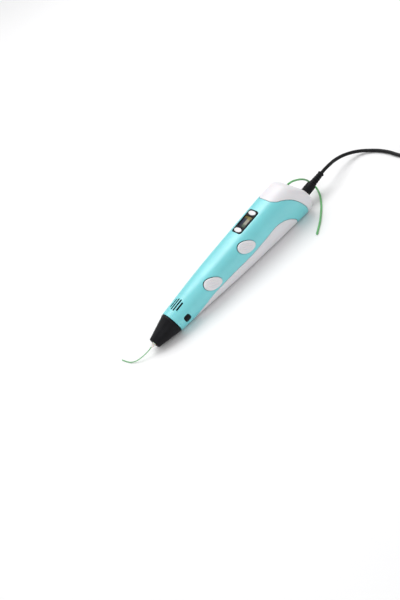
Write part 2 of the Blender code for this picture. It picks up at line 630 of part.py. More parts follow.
def cords():
    relief_end = to_world(RELIEF_END + GAP, 0, JACK_Z)
    c, s = math.cos(BELLY_ANGLE), math.sin(BELLY_ANGLE)
    cord_route = [
        relief_end,
        (relief_end[0] + 5 * c, 0.0, relief_end[2] + 4 * s),
        (133.5, 0.9, 15.1), (140.4, 3.0, 13.0), (151.2, 4.4, 9.5), (161.3, 2.8, 6.0),
        (168.6, -1.2, 3.4), (173.6, -8.3, 2.0), (176.7, -16.8, CORD_RADIUS),
        (177.9, -26.7, CORD_RADIUS), (177.5, -37.0, CORD_RADIUS), (178.3, -47.0, CORD_RADIUS),
    ]
    cable("power_cord", cord_route, CORD_RADIUS, RUBBER, 3.6)

    end_route = [
        (228.7, -77.0, 3.6), (234.8, -74.0, 3.0), (239.8, -68.9, 2.9), (242.9, -62.8, 3.4),
        (USB_X, USB_Y - 9.3, USB_Z),
    ]
    cable("power_cord_end", end_route, CORD_RADIUS, RUBBER, 3.0)

    start = to_world(180.6 + GAP, 0, 0)
    tail_route = [
        start, (start[0] + 4.5, -0.3, start[2] - 0.7), (97.2, 1.1, 27.2), (103.9, 4.0, 21.2),
        (109.6, 6.7, 14.2), (113.0, 7.2, 7.6), (113.2, 2.8, 3.0), (108.2, -4.9, 1.3),
        (99.7, -13.8, 0.98), (92.0, -20.5, 0.9), (82.3, -27.9, 0.9), (69.9, -35.7, 0.9),
    ]
    cable("filament_tail", tail_route, FILAMENT_RADIUS, GREEN, 3.6)

    strand_route = [
        to_world(-GAP, 0, 0), (-96.0, 0.1, 5.6), (-99.2, 0.7, 4.6), (-104.4, 2.6, 3.0),
        (-109.4, 5.9, 1.4), (-112.6, 10.2, 0.62), (-114.3, 15.2, 0.42), (-115.2, 20.0, 0.42),
    ]
    cable("extruded_strand", strand_route, 0.4, GREEN, 2.0)

    edge = 1.4
    ring = [
        (0.0, COIL_INNER + edge), (0.0, COIL_OUTER - edge), (edge, COIL_OUTER),
        (COIL_HEIGHT - edge, COIL_OUTER), (COIL_HEIGHT, COIL_OUTER - edge),
        (COIL_HEIGHT, COIL_INNER + edge), (COIL_HEIGHT - edge, COIL_INNER), (edge, COIL_INNER),
    ]
    turned("cord_coil", ring, RUBBER, axis="Z", centre=(COIL_X, COIL_Y), steps=28, hollow=True)
    cord_tie()
    far_plug()


def cord_tie():
    """A strip wrapped round the coil's bundle, on the pen's side of it."""
    side, thick = 3.5, 1.0
    x, y = COIL_X, COIL_Y
    near, far = COIL_INNER - 0.8, COIL_OUTER + GAP
    low, high = (x - side, y + near - thick, 0.0), (x + side, y + far + thick, COIL_HEIGHT + GAP + thick)
    strip = box("cord_tie", low, high, BLACK)
    cut(strip, box("tie_hole", (x - 5, y + near, -1), (x + 5, y + far, COIL_HEIGHT + GAP)))


def far_plug():
    """The flat plug of the lead's far end, lying beside the coil and pointing along +Y."""
    body = rounded_rectangle((USB_X, USB_Z), 15.4, 8.0, 1.6)
    prism("usb_plug_body", body, USB_Y, USB_Y + 19.0, BLACK)
    sleeve = rounded_rectangle((USB_X, USB_Z), 12.0, 4.5, 0.4, steps=2)
    shell = prism("usb_plug_shell", sleeve, USB_Y + 19.3, USB_Y + 31.0, STEEL)
    hollow = rounded_rectangle((USB_X, USB_Z + 0.8), 11.2, 2.0, 0.2, steps=2)
    cut(shell, prism("sleeve_hollow", hollow, USB_Y + 22.0, USB_Y + 40.0))
    relief = [(USB_Y - 9.0, 2.2), (USB_Y - GAP, 3.0)]
    turned("usb_plug_relief", relief, BLACK, axis="Y", centre=(USB_X, USB_Z), steps=16)


def main():
    clear_scene()
    pen = bpy.data.objects.new("pen_frame", None)
    bpy.context.scene.collection.objects.link(pen)
    pen.location = (-HALF_LENGTH * MM, 0, LIFT * MM)
    pen.rotation_euler = (0, -BELLY_ANGLE, 0)
    shells(pen)
    shell_screws()
    nozzle_unit(pen)
    latch(pen)
    front_internals(pen)
    side_buttons(pen)
    display(pen)
    speed_slider(pen)
    boards(pen)
    feeder(pen)
    power_parts(pen)
    filament_parts(pen)
    cords()


main()
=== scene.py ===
"""The looks of a pen that melts plastic filament: fine shells, buttons, cords, finishes, light and camera.

Pieces of the pen are made in the pen's own frame in millimetres, as the CAD is: X from the nozzle's tip to
the rear, +Z the display's side, -Y the side with the two oval buttons. PEN turns that frame into the world's.
The cords and what is on their far ends are made in the world's frame, in millimetres too.

A point of the outer wall is a pair: its station along the pen, and its turn round it from the top.
"""
import json
import math

import bmesh
import bpy
import numpy as np
from mathutils import Matrix, Vector
from mathutils.geometry import delaunay_2d_cdt


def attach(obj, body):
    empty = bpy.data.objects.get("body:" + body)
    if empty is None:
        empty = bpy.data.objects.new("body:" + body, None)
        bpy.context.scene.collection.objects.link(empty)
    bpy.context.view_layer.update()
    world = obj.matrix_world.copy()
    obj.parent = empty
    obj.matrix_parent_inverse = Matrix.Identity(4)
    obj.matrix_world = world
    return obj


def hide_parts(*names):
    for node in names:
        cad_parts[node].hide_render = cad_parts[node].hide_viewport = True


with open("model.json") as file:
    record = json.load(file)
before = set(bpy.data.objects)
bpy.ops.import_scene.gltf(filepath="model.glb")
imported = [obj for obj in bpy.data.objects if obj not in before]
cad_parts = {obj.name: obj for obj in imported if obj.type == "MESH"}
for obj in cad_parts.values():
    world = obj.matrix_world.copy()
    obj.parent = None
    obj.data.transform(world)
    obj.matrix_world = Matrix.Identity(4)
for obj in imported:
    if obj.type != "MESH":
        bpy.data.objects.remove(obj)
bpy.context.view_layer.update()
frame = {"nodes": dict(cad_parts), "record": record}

MM = 0.001
PI = math.pi
TURN_MM = 14.0                # about how far a turn of one radian goes round the wall
SKIN_GRID, FACE_GRID = 1.5, 1.3
CLEAR = 0.62                  # how far new points stay from an outline, in spacings of the grid

# The pen's outer form, as in the CAD: x, top, bottom and half width at each station
STATIONS = np.array([
    (26, 10.2, -10, 10.2), (60, 11, -14.9, 12), (100, 10.8, -21.4, 13.85),
    (140, 10.3, -27.3, 15.15), (165, 9.9, -30.9, 15.5), (187, 8.8, -34.1, 15.5),
])
ROUND_POWER, SQUARE_POWER = 2.05, 2.55
SQUARE_FROM, SQUARE_BY = 27.0, 90.0
BELLY_SLOPE, BELLY_X, BELLY_Z = 0.145, 27.0, -10.3
BELLY_CREASE = 0.5
SIDE_BOW = 0.01               # how much a straight side of a small part bows out, as a share of its length
FRONT, REAR_MID, REAR_LEAN_FROM, REAR_ROUND = 26.4, 186.2, 148.0, 4.0
ROUND_SHRINK = 17.0           # the rear face's corners come in by REAR_ROUND in this much
WALL_ROWS, ROUND_ROWS = 12, 9
REAR_FACE = np.array([
    (-35, 178.5), (-31, 182.2), (-27, 184.9), (-22, 186.2), (-17, 186.2),
    (-11, 185.2), (-4, 182.6), (0, 180.2), (5, 177.2), (10, 175.2),
])
CAP_EDGE = [
    (154.2, 16), (154.2, 10.2), (155.6, 8.4), (158.3, 6.4), (162.3, 4.2), (166.6, 0.8),
    (170.7, -4.3), (174.3, -11.6), (176.9, -19.4), (178, -28), (178.3, -42),
]
LEAF_EDGE = [
    (38.5, -16), (42, -10.4), (47.5, -7.6), (56, -5.8), (68, -4.6), (90, -5.6),
    (112, -7.4), (130, -7.2), (142, -6.7), (149, -8.4), (155, -11.6), (160.4, -17),
    (163.6, -24), (164.8, -42),
]
BELLY_CENTRE, REAR_CENTRE = (100, PI), (200, 0)   # pairs that the belly cover and the cap lie round
WALL, GAP = 2.0, 0.3
HALF_LENGTH = 93.65
BELLY_ANGLE = math.atan(BELLY_SLOPE)
LIFT = (-BELLY_Z - BELLY_SLOPE * BELLY_X) * math.cos(BELLY_ANGLE)
PEN = Matrix.Translation((-HALF_LENGTH * MM, 0, LIFT * MM)) @ Matrix.Rotation(-BELLY_ANGLE, 4, "Y")

# Openings and what sits in them, as in the CAD
VENT_X, VENT_Y, VENT_WIDTH, VENT_UNDERCUT = 38.3, -1.2, 1.35, 0.4
THINNING, THIN_LONG, THIN_WIDE, THIN_FADE = 1.3, 8.0, 6.5, 1.8    # the wall is thinner round the vents
VENTS = ((-3.75, 8.4), (-1.25, 11.4), (1.25, 11.4), (3.75, 8.4))
LATCH_X, LATCH_Z, LATCH_LONG, LATCH_TALL = 36.0, -0.5, 5.4, 6.2
BUTTONS = {"feed_button": (70.5, 3.2, -8.9), "retract_button": (112.0, 2.3, -10.9)}
BUTTON_LONG, BUTTON_SHORT, BUTTON_TILT, BUTTON_PROUD = 8.3, 4.9, math.radians(-26), 0.8
DISPLAY_X, DISPLAY_LONG, DISPLAY_WIDE, DISPLAY_TOP = 129.0, 24.8, 10.6, 10.35
KEY_OFFSET, KEY_ALONG, KEY_ACROSS = 9.5, 2.2, 4.2
SLIDER_X, SLIDER_TRAVEL = 92.0, 4.0
SCREW_X = (52.0, 98.0, 146.0)

# Cords
CORD_RADIUS, FILAMENT_RADIUS, STRAND_RADIUS = 1.6, 0.875, 0.4
LEAD_LENGTH, TAIL_LENGTH, STRAND_LENGTH = 1.27, 0.105, 0.033      # in metres
JACK_Z, PLUG_FACE, RELIEF_END = -22.0, 186.8, 214.0
COIL_X, COIL_Y, COIL_INNER = 207.8, -55.0, 11.7
COIL_TURNS = 223 / 48          # of each of its two layers
COIL_FROM = math.radians(180)  # where on the coil the cord arrives
COIL_STEPS = 24                # points in a turn
BUNDLE_MIDDLE, BUNDLE_HALF = 19.2, 9.1
USB_X, USB_Y, USB_Z = 243.8, -47.7, 4.2
USB_LONG, USB_WIDE, USB_TALL = 19.0, 15.4, 8.0
TIE_WIDE, TIE_THICK, TIE_INSIDE = 7.0, 1.0, 6.7

# The camera, at the photo's viewing angle, in metres
CAMERA_PLACE = (-0.21863, -0.46807, 0.42924)
CAMERA_FORWARD, CAMERA_RIGHT = (0.2768, 0.7131, -0.6441), (0.6929, -0.6125, -0.3804)
LENS, SENSOR = 47.53, 36.0
LIGHTS_AIM = (0, 0, 0.02)


def to_world(x, y, z):
    """A point of the pen frame in the world frame, both in millimetres."""
    return tuple(PEN @ Vector((x * MM, y * MM, z * MM)) / MM)


def smooth(x, knots, values):
    """Smooth curve through the knots, whose slope at each comes from its neighbours."""
    knots, values = np.asarray(knots, float), np.asarray(values, float)
    last = len(knots) - 1
    i = np.clip(np.searchsorted(knots, x, side="right") - 1, 0, last - 1)
    low, high = np.maximum(np.arange(last + 1) - 1, 0), np.minimum(np.arange(last + 1) + 1, last)
    slopes = (values[high] - values[low]) / (knots[high] - knots[low])
    step = knots[i + 1] - knots[i]
    t = (x - knots[i]) / step
    return (
        values[i] * (2 * t**3 - 3 * t**2 + 1) + slopes[i] * step * (t**3 - 2 * t**2 + t)
        + values[i + 1] * (-2 * t**3 + 3 * t**2) + slopes[i + 1] * step * (t**3 - t**2)
    )


def soft_step(value):
    """0 below 0, 1 above 1, and a smooth rise between them."""
    value = np.clip(value, 0, 1)
    return value**2 * (3 - 2 * value)


def signed_power(value, power):
    return np.copysign(np.abs(value) ** power, value)


def unit(vectors):
    return vectors / np.linalg.norm(vectors, axis=-1, keepdims=True)


# ---- the outer wall

def section(x):
    """Middle height, half height, half width and squareness of the cross-section at a station."""
    top, bottom, half = (smooth(x, STATIONS[:, 0], STATIONS[:, k]) for k in (1, 2, 3))
    square = soft_step((x - SQUARE_FROM) / (SQUARE_BY - SQUARE_FROM))
    power = ROUND_POWER + (SQUARE_POWER - ROUND_POWER) * square
    return (top + bottom) / 2, (top - bottom) / 2, half, power


def rear_face(z):
    """Where the rear face lies at a height, along the pen."""
    return smooth(z, REAR_FACE[:, 0], REAR_FACE[:, 1])


def rear_lean(x, z):
    """How far a point near the rear is moved so that the sections lean with the rear face."""
    share = np.maximum(0.0, (x - REAR_LEAN_FROM) / (REAR_MID - REAR_LEAN_FROM))
    return share**2 * (rear_face(z) - REAR_MID)


def rest_on_belly(px, z):
    """Lift what is under the flat belly strip onto it, with a slightly soft crease."""
    floor = BELLY_Z - BELLY_SLOPE * (px - BELLY_X)
    over = z - floor
    return floor + (over + np.sqrt(over**2 + BELLY_CREASE**2)) / 2


def skin(x, turn, shrink=1.0, back=None):
    """Points of the outer wall at a station and a turn, which is positive towards the buttons.

    Near the rear face they lie this far back from it, on a section that has shrunk."""
    middle, rise, half, power = section(x)
    y = -shrink * half * signed_power(np.sin(turn), 2 / power)
    z = middle + shrink * rise * signed_power(np.cos(turn), 2 / power)
    px = x + rear_lean(x, z) if back is None else rear_face(z) - back
    return np.stack([px, y, rest_on_belly(px, z)], -1)


def tangents(x, turn, step=1e-3):
    """Along, around and straight out of the outer wall."""
    along = (skin(x + step, turn) - skin(x - step, turn)) / (2 * step)
    around = (skin(x, turn + step) - skin(x, turn - step)) / (2 * step)
    return along, around, unit(np.cross(around, along))


def station_at(px, turn):
    """The station whose point at this turn lies at px."""
    station = np.array(px, float)
    for _ in range(40):
        middle, rise, _, power = section(station)
        z = middle + rise * signed_power(np.cos(turn), 2 / power)
        station = px - rear_lean(station, z)
    return station


def dense_outline(points, per_span=40):
    points = np.array(points, float)
    at = np.linspace(0, len(points) - 1, (len(points) - 1) * per_span + 1)
    return np.stack([smooth(at, np.arange(len(points)), points[:, k]) for k in (0, 1)], 1)


def side_to_skin(xz):
    """Pairs of points seen from the buttons' side, without those that miss the wall."""
    px, z = xz.T
    station = px.copy()
    for _ in range(40):
        station = px - rear_lean(station, z)
    middle, rise, _, power = section(station)
    share = (z - middle) / rise
    turn = np.arccos(signed_power(np.clip(share, -1, 1), power / 2))
    hits = (abs(share) < 1) & (z > BELLY_Z - BELLY_SLOPE * (px - BELLY_X))
    return np.stack([station, turn], 1)[hits]


def to_belly_middle(line):
    """Lead a parting line's last end straight across the flat belly to its middle."""
    turn = np.linspace(line[-1, 1], PI, 12)[1:]
    station = station_at(skin(*line[-1])[0], turn)
    return np.concatenate([line, np.stack([station, turn], 1)])


def mirrored(line):
    """The same line on the other side of the pen, run the other way."""
    return (line * (1, -1))[::-1]


def top_to_skin(xy):
    """Pairs of points seen from above."""
    _, _, half, power = section(xy[:, 0])
    return np.stack([xy[:, 0], np.arcsin(signed_power(-xy[:, 1] / half, power / 2))], 1)


def resample(line, spacing, closed=False):
    """The same line with its points a spacing apart on the wall."""
    if closed:
        line = np.concatenate([line, line[:1]])
    at = np.concatenate([[0.0], np.cumsum(np.linalg.norm(np.diff(skin(*line.T), axis=0), axis=1))])
    wanted = np.linspace(0, at[-1], max(6, round(at[-1] / spacing)) + 1)
    made = np.stack([np.interp(wanted, at, line[:, k]) for k in (0, 1)], 1)
    return made[:-1] if closed else made


# ---- mesh helpers

def wall_mesh():
    """A mesh whose vertices remember a shading normal, the inner wall's point and the wall's own normal."""
    bm = bmesh.new()
    for name in ("shade", "core", "out"):
        bm.verts.layers.float_vector.new(name)
    return bm


def add_points(bm, surface, normal, depth=0.0, shade=None):
    """Vertices at a depth under points of the outer surface, each remembering what it needs later."""
    layers = bm.verts.layers.float_vector
    shade = normal if shade is None else shade
    px, y, z = surface.T
    by_vents = np.clip(THIN_FADE - np.hypot((px - VENT_X) / THIN_LONG, (y - VENT_Y) / THIN_WIDE), 0, 1)
    core = surface - normal * (WALL - THINNING * by_vents * (z > 0))[:, None]
    made = []
    for p, c, n, s in zip(surface - normal * depth, core, normal, shade):
        vertex = bm.verts.new(p)
        vertex[layers["shade"]], vertex[layers["core"]], vertex[layers["out"]] = s, c, n
        made.append(vertex)
    return made


def on_wall(bm, x, turn, depth=0.0, shade=None):
    """Vertices on the outer wall, or at a depth under it."""
    return add_points(bm, skin(x, turn), tangents(x, turn)[2], depth, shade)


def quads(bm, first, second, closed):
    """Join two rows of vertices, and their ends too where the rows are closed."""
    for i in range(len(first) - (0 if closed else 1)):
        j = (i + 1) % len(first)
        bm.faces.new((first[i], first[j], second[j], second[i]))


def quarter(radius, steps):
    """Steps round an edge's quarter circle: how far in and how deep, and the cosine and sine of its angle."""
    a = np.linspace(0, PI / 2, steps + 1)
    return list(zip(radius * (1 - np.cos(a)), radius * (1 - np.sin(a)), np.cos(a), np.sin(a)))


def rounded_edge(bm, line, centre, outward, closed=False, radius=0.4, back=GAP / 2, undercut=0.0, steps=4):
    """Round the wall's edge along a line of pairs. Returns the last row's pairs and vertices.

    The wall lies outward from the centre, or inward, and its edge stands back from the line, and further back
    at the inner wall by the undercut."""
    core = bm.verts.layers.float_vector["core"]
    x, turn = line.T
    along, around, normal = tangents(x, turn)
    points = skin(x, turn)
    run = np.roll(points, -1, 0) - np.roll(points, 1, 0) if closed else np.gradient(points, axis=0)
    side = np.cross(normal, unit(run))
    aa, ar, rr = ((a * b).sum(-1) for a, b in ((along, along), (along, around), (around, around)))
    sa, sr = (side * along).sum(-1), (side * around).sum(-1)
    dx, dt = (rr * sa - ar * sr) / (aa * rr - ar**2), (aa * sr - ar * sa) / (aa * rr - ar**2)
    middle = len(x) // 4 if closed else len(x) // 2
    aim = (x[middle] - centre[0]) * dx[middle] + (turn[middle] - centre[1]) * dt[middle] * TURN_MM**2
    if (aim < 0) == outward:
        side, dx, dt = -side, -dx, -dt
    if not closed:
        for end in (0, -1):      # the ends lie on the belly's middle line, and stay on it
            dx[end], dt[end] = math.copysign(1 / math.sqrt(aa[end]), dx[end]), 0.0
    rows = []
    for inset, depth, c, s in quarter(radius, steps):
        away = back + inset
        pairs = np.stack([x + dx * away, turn + dt * away], 1)
        rows.append(on_wall(bm, *pairs.T, depth, s * normal - c * side))
        if undercut:
            for vertex, way in zip(rows[-1], side):
                vertex[core] += Vector(way * (undercut - 0.7 * away))
    for first, second in zip(rows, rows[1:]):
        quads(bm, first, second, closed)
    return pairs, rows[-1]


def inside(points, loops):
    """Which points lie inside an odd number of the closed loops."""
    odd = np.zeros(len(points), bool)
    px, py = points.T
    for loop in loops:
        for (x0, y0), (x1, y1) in zip(loop, np.roll(loop, -1, 0)):
            if y0 != y1:
                odd ^= ((y0 > py) != (y1 > py)) & (px < (x1 - x0) * (py - y0) / (y1 - y0) + x0)
    return odd


def fill(bm, loops, spacing, place):
    """Even triangles between closed loops of plane points and their vertices. Place makes new vertices."""
    outlines = [np.array(points, float) for points, _ in loops]
    vertices = [v for _, verts in loops for v in verts]
    border = np.concatenate(outlines)
    low, high = border.min(0), border.max(0)
    rows = np.arange(low[1], high[1], spacing * math.sqrt(0.75))
    grid = np.concatenate([
        np.stack([np.arange(low[0] + (k % 2) * spacing / 2, high[0], spacing)] * 2, 1) * (1, 0) + (0, v)
        for k, v in enumerate(rows)
    ])
    grid = grid[inside(grid, outlines)]
    nearest = np.array([((border - p) ** 2).sum(1).min() for p in grid])
    grid = grid[nearest > (CLEAR * spacing) ** 2]
    vertices += place(grid)
    edges, start = [], 0
    for outline in outlines:
        count = len(outline)
        edges += [(start + i, start + (i + 1) % count) for i in range(count)]
        start += count
    every = np.concatenate([border, grid])
    _, _, faces, origin, _, _ = delaunay_2d_cdt([Vector(p) for p in every], edges, [], 0, 1e-7)
    faces = [[origin[i][0] for i in face] for face in faces]
    middles = np.array([every[face].mean(0) for face in faces])
    for face, kept in zip(faces, inside(middles, outlines)):
        if kept:
            bm.faces.new([vertices[i] for i in face])


def thicken(bm):
    """Weld the seams, add the inner wall, and join it to the outer one round every open edge."""
    bmesh.ops.remove_doubles(bm, verts=bm.verts, dist=1e-3)
    layers = bm.verts.layers.float_vector
    shade, core, out = layers["shade"], layers["core"], layers["out"]
    rim = [e for e in bm.edges if e.is_boundary]
    inner = {}
    for vertex in list(bm.verts):
        made = bm.verts.new(vertex[core])
        made[shade] = -vertex[out]
        inner[vertex] = made
    for face in list(bm.faces):
        bm.faces.new([inner[v] for v in reversed(face.verts)])
    for edge in rim:
        a, b = edge.verts
        bm.faces.new((a, b, inner[b], inner[a]))


def soften(points, radius, steps=4):
    """Replace each corner of a closed outline with a small curve."""
    points = [Vector(p) for p in points]
    made = []
    for i, p in enumerate(points):
        before, after = points[i - 1] - p, points[(i + 1) % len(points)] - p
        cut = min(radius, before.length * 0.45, after.length * 0.45)
        a, b = p + before.normalized() * cut, p + after.normalized() * cut
        for t in np.linspace(0, 1, steps + 1):
            made.append(tuple(a * (1 - t) ** 2 + p * 2 * t * (1 - t) + b * t**2))
    return np.array(made)


def stack(rings, loop=False):
    """Join rings of points with quads, and close the ends or join them to each other."""
    bm = bmesh.new()
    made = [[bm.verts.new(p) for p in ring] for ring in rings]
    for first, second in zip(made, made[1:] + made[:1] if loop else made[1:]):
        quads(bm, first, second, True)
    if not loop:
        bm.faces.new(made[0])
        bm.faces.new(made[-1])
    return bm


def lathe(profile, steps=64, axis="X", centre=(0.0, 0.0), loop=True):
    """Turn a profile of (distance along, radius), which is a closed loop or has its ends on the axis."""
    order = {"X": (0, 1, 2), "Y": (1, 0, 2), "Z": (1, 2, 0)}[axis]
    circles = [(d, oval(centre, r, r, steps=steps)) for d, r in profile]
    return stack([np.insert(circle, 0, d, axis=1)[:, order] for d, circle in circles], loop)


def rounded_rectangle(centre, width, height, radius, steps=8):
    points = []
    for sx, sy, turn in ((1, 1, 0), (-1, 1, 90), (-1, -1, 180), (1, -1, 270)):
        cx = centre[0] + sx * (width / 2 - radius)
        cy = centre[1] + sy * (height / 2 - radius)
        for i in range(steps + 1):
            a = math.radians(turn + 90 * i / steps)
            points.append((cx + radius * math.cos(a), cy + radius * math.sin(a)))
    return np.array(points)


def oval(centre, long_radius, short_radius, tilt=0.0, steps=96):
    a = np.linspace(0, 2 * PI, steps, endpoint=False)
    u, v = long_radius * np.cos(a), short_radius * np.sin(a)
    c, s = math.cos(tilt), math.sin(tilt)
    return np.stack([centre[0] + u * c - v * s, centre[1] + u * s + v * c], 1)


def block(outline, low, high, edge):
    """Extrude an outline of (x, z) pairs along Y, and round its sharp edges."""
    bm = stack([[(px, y, pz) for px, pz in outline] for y in (low, high)])
    bmesh.ops.recalc_face_normals(bm, faces=bm.faces)
    sharp = [e for e in bm.edges if e.calc_face_angle(0) > math.radians(40)]
    bmesh.ops.bevel(bm, geom=sharp, offset=edge, segments=3, profile=0.5, affect="EDGES", clamp_overlap=True)
    return bm


def put(name, bm, slot, replaced=(), body="pen_body", pen=True, sharp=38):
    """Turn a bmesh in millimetres into a piece that rides on a body and stands for CAD nodes.

    Its mesh is in the pen's frame or in the world's. Edges sharper than this many degrees show as edges,
    unless the mesh remembers its shading normals."""
    bmesh.ops.remove_doubles(bm, verts=bm.verts, dist=1e-4)
    bmesh.ops.recalc_face_normals(bm, faces=bm.faces)
    bmesh.ops.scale(bm, vec=(MM, MM, MM), verts=bm.verts)
    mesh = bpy.data.meshes.new(name)
    bm.to_mesh(mesh)
    bm.free()
    if pen:
        mesh.transform(PEN)
    mesh.shade_smooth()
    if "shade" in mesh.attributes:
        values = np.zeros(len(mesh.vertices) * 3, np.float32)
        mesh.attributes["shade"].data.foreach_get("vector", values)
        for layer in ("shade", "core", "out"):
            mesh.attributes.remove(mesh.attributes[layer])
        turned = unit(values.reshape(-1, 3)) @ np.array(PEN.to_3x3()).T
        mesh.normals_split_custom_set_from_vertices(turned.tolist())
    else:
        mesh.set_sharp_from_angle(angle=math.radians(sharp))
    return add_piece(name, mesh, body, slot, replaced)


def add_object(name, data):
    thing = bpy.data.objects.new(name, data)
    bpy.context.scene.collection.objects.link(thing)
    return thing


def add_piece(name, data, body, slot, replaced):
    """A visible piece that rides on a body and stands for CAD nodes."""
    thing = add_object(name, data)
    data.materials.append(FINISHES[slot])
    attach(thing, body)
    if replaced:
        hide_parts(*replaced)
    return thing


def offset(outline, by):
    """Move a closed anticlockwise outline inwards."""
    run = np.roll(outline, -1, 0) - np.roll(outline, 1, 0)
    return outline + unit(np.stack([-run[:, 1], run[:, 0]], 1)) * by


# ---- finishes

def add_node(tree, kind, links=None, **values):
    """A shader node whose inputs are linked to other nodes' outputs or have these values."""
    node = tree.nodes.new("ShaderNode" + kind)
    for socket, output in (links or {}).items():
        tree.links.new(output, node.inputs[socket])
    for socket, value in values.items():
        node.inputs[socket.replace("_", " ")].default_value = value
    return node


def noise(tree, place, scale, detail=3.0):
    return add_node(tree, "TexNoise", {"Vector": place}, Scale=scale, Detail=detail).outputs["Fac"]


def ramp(tree, factor, *stops):
    node = add_node(tree, "ValToRGB", {"Fac": factor})
    while len(node.color_ramp.elements) < len(stops):
        node.color_ramp.elements.new(0.5)
    for element, (position, colour) in zip(node.color_ramp.elements, stops):
        element.position, element.color = position, (*colour, 1.0)
    return node.outputs["Color"]


FINISHES = {}                 # materials by slot


def tint(colour, by):
    return tuple(min(1.0, c * by) for c in colour)


def finish(slot, colour, roughness, mottle=0.05, cloud=160, grain=2600, depth=0.015, stretch=None, **more):
    """Moulded plastic, metal or rubber: faint clouds of colour, uneven gloss, and a fine grain or brushing.

    Cloud and grain are per metre, depth is the grain's in millimetres, and more is for the shader."""
    material = FINISHES[slot] = bpy.data.materials.new(slot)
    material.use_nodes = True
    tree = material.node_tree
    shader = tree.nodes["Principled BSDF"]
    for socket, value in more.items():
        shader.inputs[socket.replace("_", " ")].default_value = value
    place = add_node(tree, "TexCoord").outputs["Object"]
    if stretch:
        place = add_node(tree, "Mapping", {"Vector": place}, Scale=stretch).outputs["Vector"]
    clouds = noise(tree, place, cloud)
    base = ramp(tree, clouds, (0.35, tint(colour, 1 - mottle)), (0.65, tint(colour, 1 + mottle)))
    tree.links.new(base, shader.inputs["Base Color"])
    uneven = {"Value": noise(tree, place, cloud * 3.3, 6.0)}
    gloss = add_node(tree, "MapRange", uneven, To_Min=roughness * 0.8, To_Max=roughness * 1.25)
    tree.links.new(gloss.outputs["Result"], shader.inputs["Roughness"])
    grains = {"Height": noise(tree, place, grain, 2.0)}
    bump = add_node(tree, "Bump", grains, Strength=1.0, Distance=depth * MM)
    tree.links.new(bump.outputs["Normal"], shader.inputs["Normal"])
    return material


def screen_finish():
    """Display glass: dark along the far side, and paler, green to olive, along the buttons' side."""
    tree = finish("screen_glass", (0.02, 0.025, 0.05), 0.15, depth=0.0, Specular_IOR_Level=0.15).node_tree
    place = {"Vector": add_node(tree, "TexCoord").outputs["Object"]}
    into_pen = add_node(tree, "Mapping", place, Location=PEN.to_translation(), Rotation=PEN.to_euler())
    into_pen.vector_type = "TEXTURE"
    parts = add_node(tree, "SeparateXYZ", {"Vector": into_pen.outputs["Vector"]})

    def share(axis, low, high):
        value = {"Value": parts.outputs[axis]}
        return add_node(tree, "MapRange", value, From_Min=low * MM, From_Max=high * MM).outputs["Result"]

    along = share("X", DISPLAY_X - 5.8, DISPLAY_X + 5.8)
    near = ramp(
        tree, along, (0.0, (0.02, 0.04, 0.03)), (0.22, (0.06, 0.09, 0.05)), (0.32, (0.24, 0.235, 0.18)),
        (0.66, (0.26, 0.25, 0.19)), (0.76, (0.20, 0.16, 0.03)), (1, (0.11, 0.09, 0.015)),
    )
    far = ramp(
        tree, along, (0.0, (0.008, 0.012, 0.022)), (0.72, (0.014, 0.019, 0.04)), (0.85, (0.10, 0.08, 0.015)),
    )
    across = share("Y", -4.2, 4.2)
    black, white = (0, 0, 0), (1, 1, 1)
    band = ramp(tree, across, (0.08, black), (0.13, white), (0.48, white), (0.55, black))
    mix = add_node(tree, "Mix")
    mix.data_type = "RGBA"
    for socket, output in ((0, band), (6, far), (7, near)):
        tree.links.new(output, mix.inputs[socket])
    tree.links.new(mix.outputs[2], tree.nodes["Principled BSDF"].inputs["Base Color"])


finish(
    "shell_blue", (0.122, 0.595, 0.64), 0.42, mottle=0.03, cloud=45, grain=1500, depth=0.012, IOR=1.65,
    Specular_IOR_Level=0.95, Coat_Weight=0.3, Coat_Roughness=0.35, Subsurface_Weight=0.06,
    Subsurface_Scale=0.002,
)
finish(
    "white_plastic", (0.715, 0.70, 0.725), 0.42, mottle=0.02, cloud=60, grain=1500, depth=0.012,
    Coat_Weight=0.15, Coat_Roughness=0.25, Subsurface_Weight=0.08, Subsurface_Scale=0.002,
)
finish(
    "black_plastic", (0.006, 0.006, 0.0075), 0.42, mottle=0.25, cloud=180, grain=3200, depth=0.02,
    Specular_IOR_Level=0.13,
)
finish("grey_plastic", (0.26, 0.27, 0.28), 0.45, grain=3000, depth=0.02)
screen_finish()
finish(
    "ceramic", (0.80, 0.79, 0.74), 0.28, mottle=0.04, cloud=400, depth=0.008,
    Subsurface_Weight=0.35, Subsurface_Scale=0.001, Coat_Weight=0.4,
)
finish("steel", (0.60, 0.60, 0.62), 0.28, cloud=700, grain=4000, stretch=(0.2, 1, 1), Metallic=1)
finish("brass", (0.72, 0.52, 0.22), 0.30, cloud=600, grain=3600, Metallic=1)
finish("circuit_board", (0.03, 0.16, 0.06), 0.38, mottle=0.25, cloud=900, grain=1400, depth=0.04)
finish("feed_tube_white", (0.75, 0.76, 0.74), 0.35, Subsurface_Weight=0.1)
finish(
    "filament_green", (0.11, 0.40, 0.13), 0.33, mottle=0.08, cloud=300, grain=1800, depth=0.02,
    Coat_Weight=0.2, Coat_Roughness=0.2,
)
finish(
    "cord_black", (0.006, 0.006, 0.007), 0.40, mottle=0.2, cloud=300, grain=2400, depth=0.03,
    Specular_IOR_Level=0.18,
)


# ---- cords

def smooth_route(points, spacing):
    """Evenly spaced points on a smooth curve through the given ones."""
    points = np.array(points, float)
    chord = np.concatenate([[0.0], np.cumsum(np.linalg.norm(np.diff(points, axis=0), axis=1))])
    at = np.linspace(0, chord[-1], round(chord[-1] / spacing) + 1)
    return np.stack([smooth(at, chord, points[:, k]) for k in range(3)], 1)


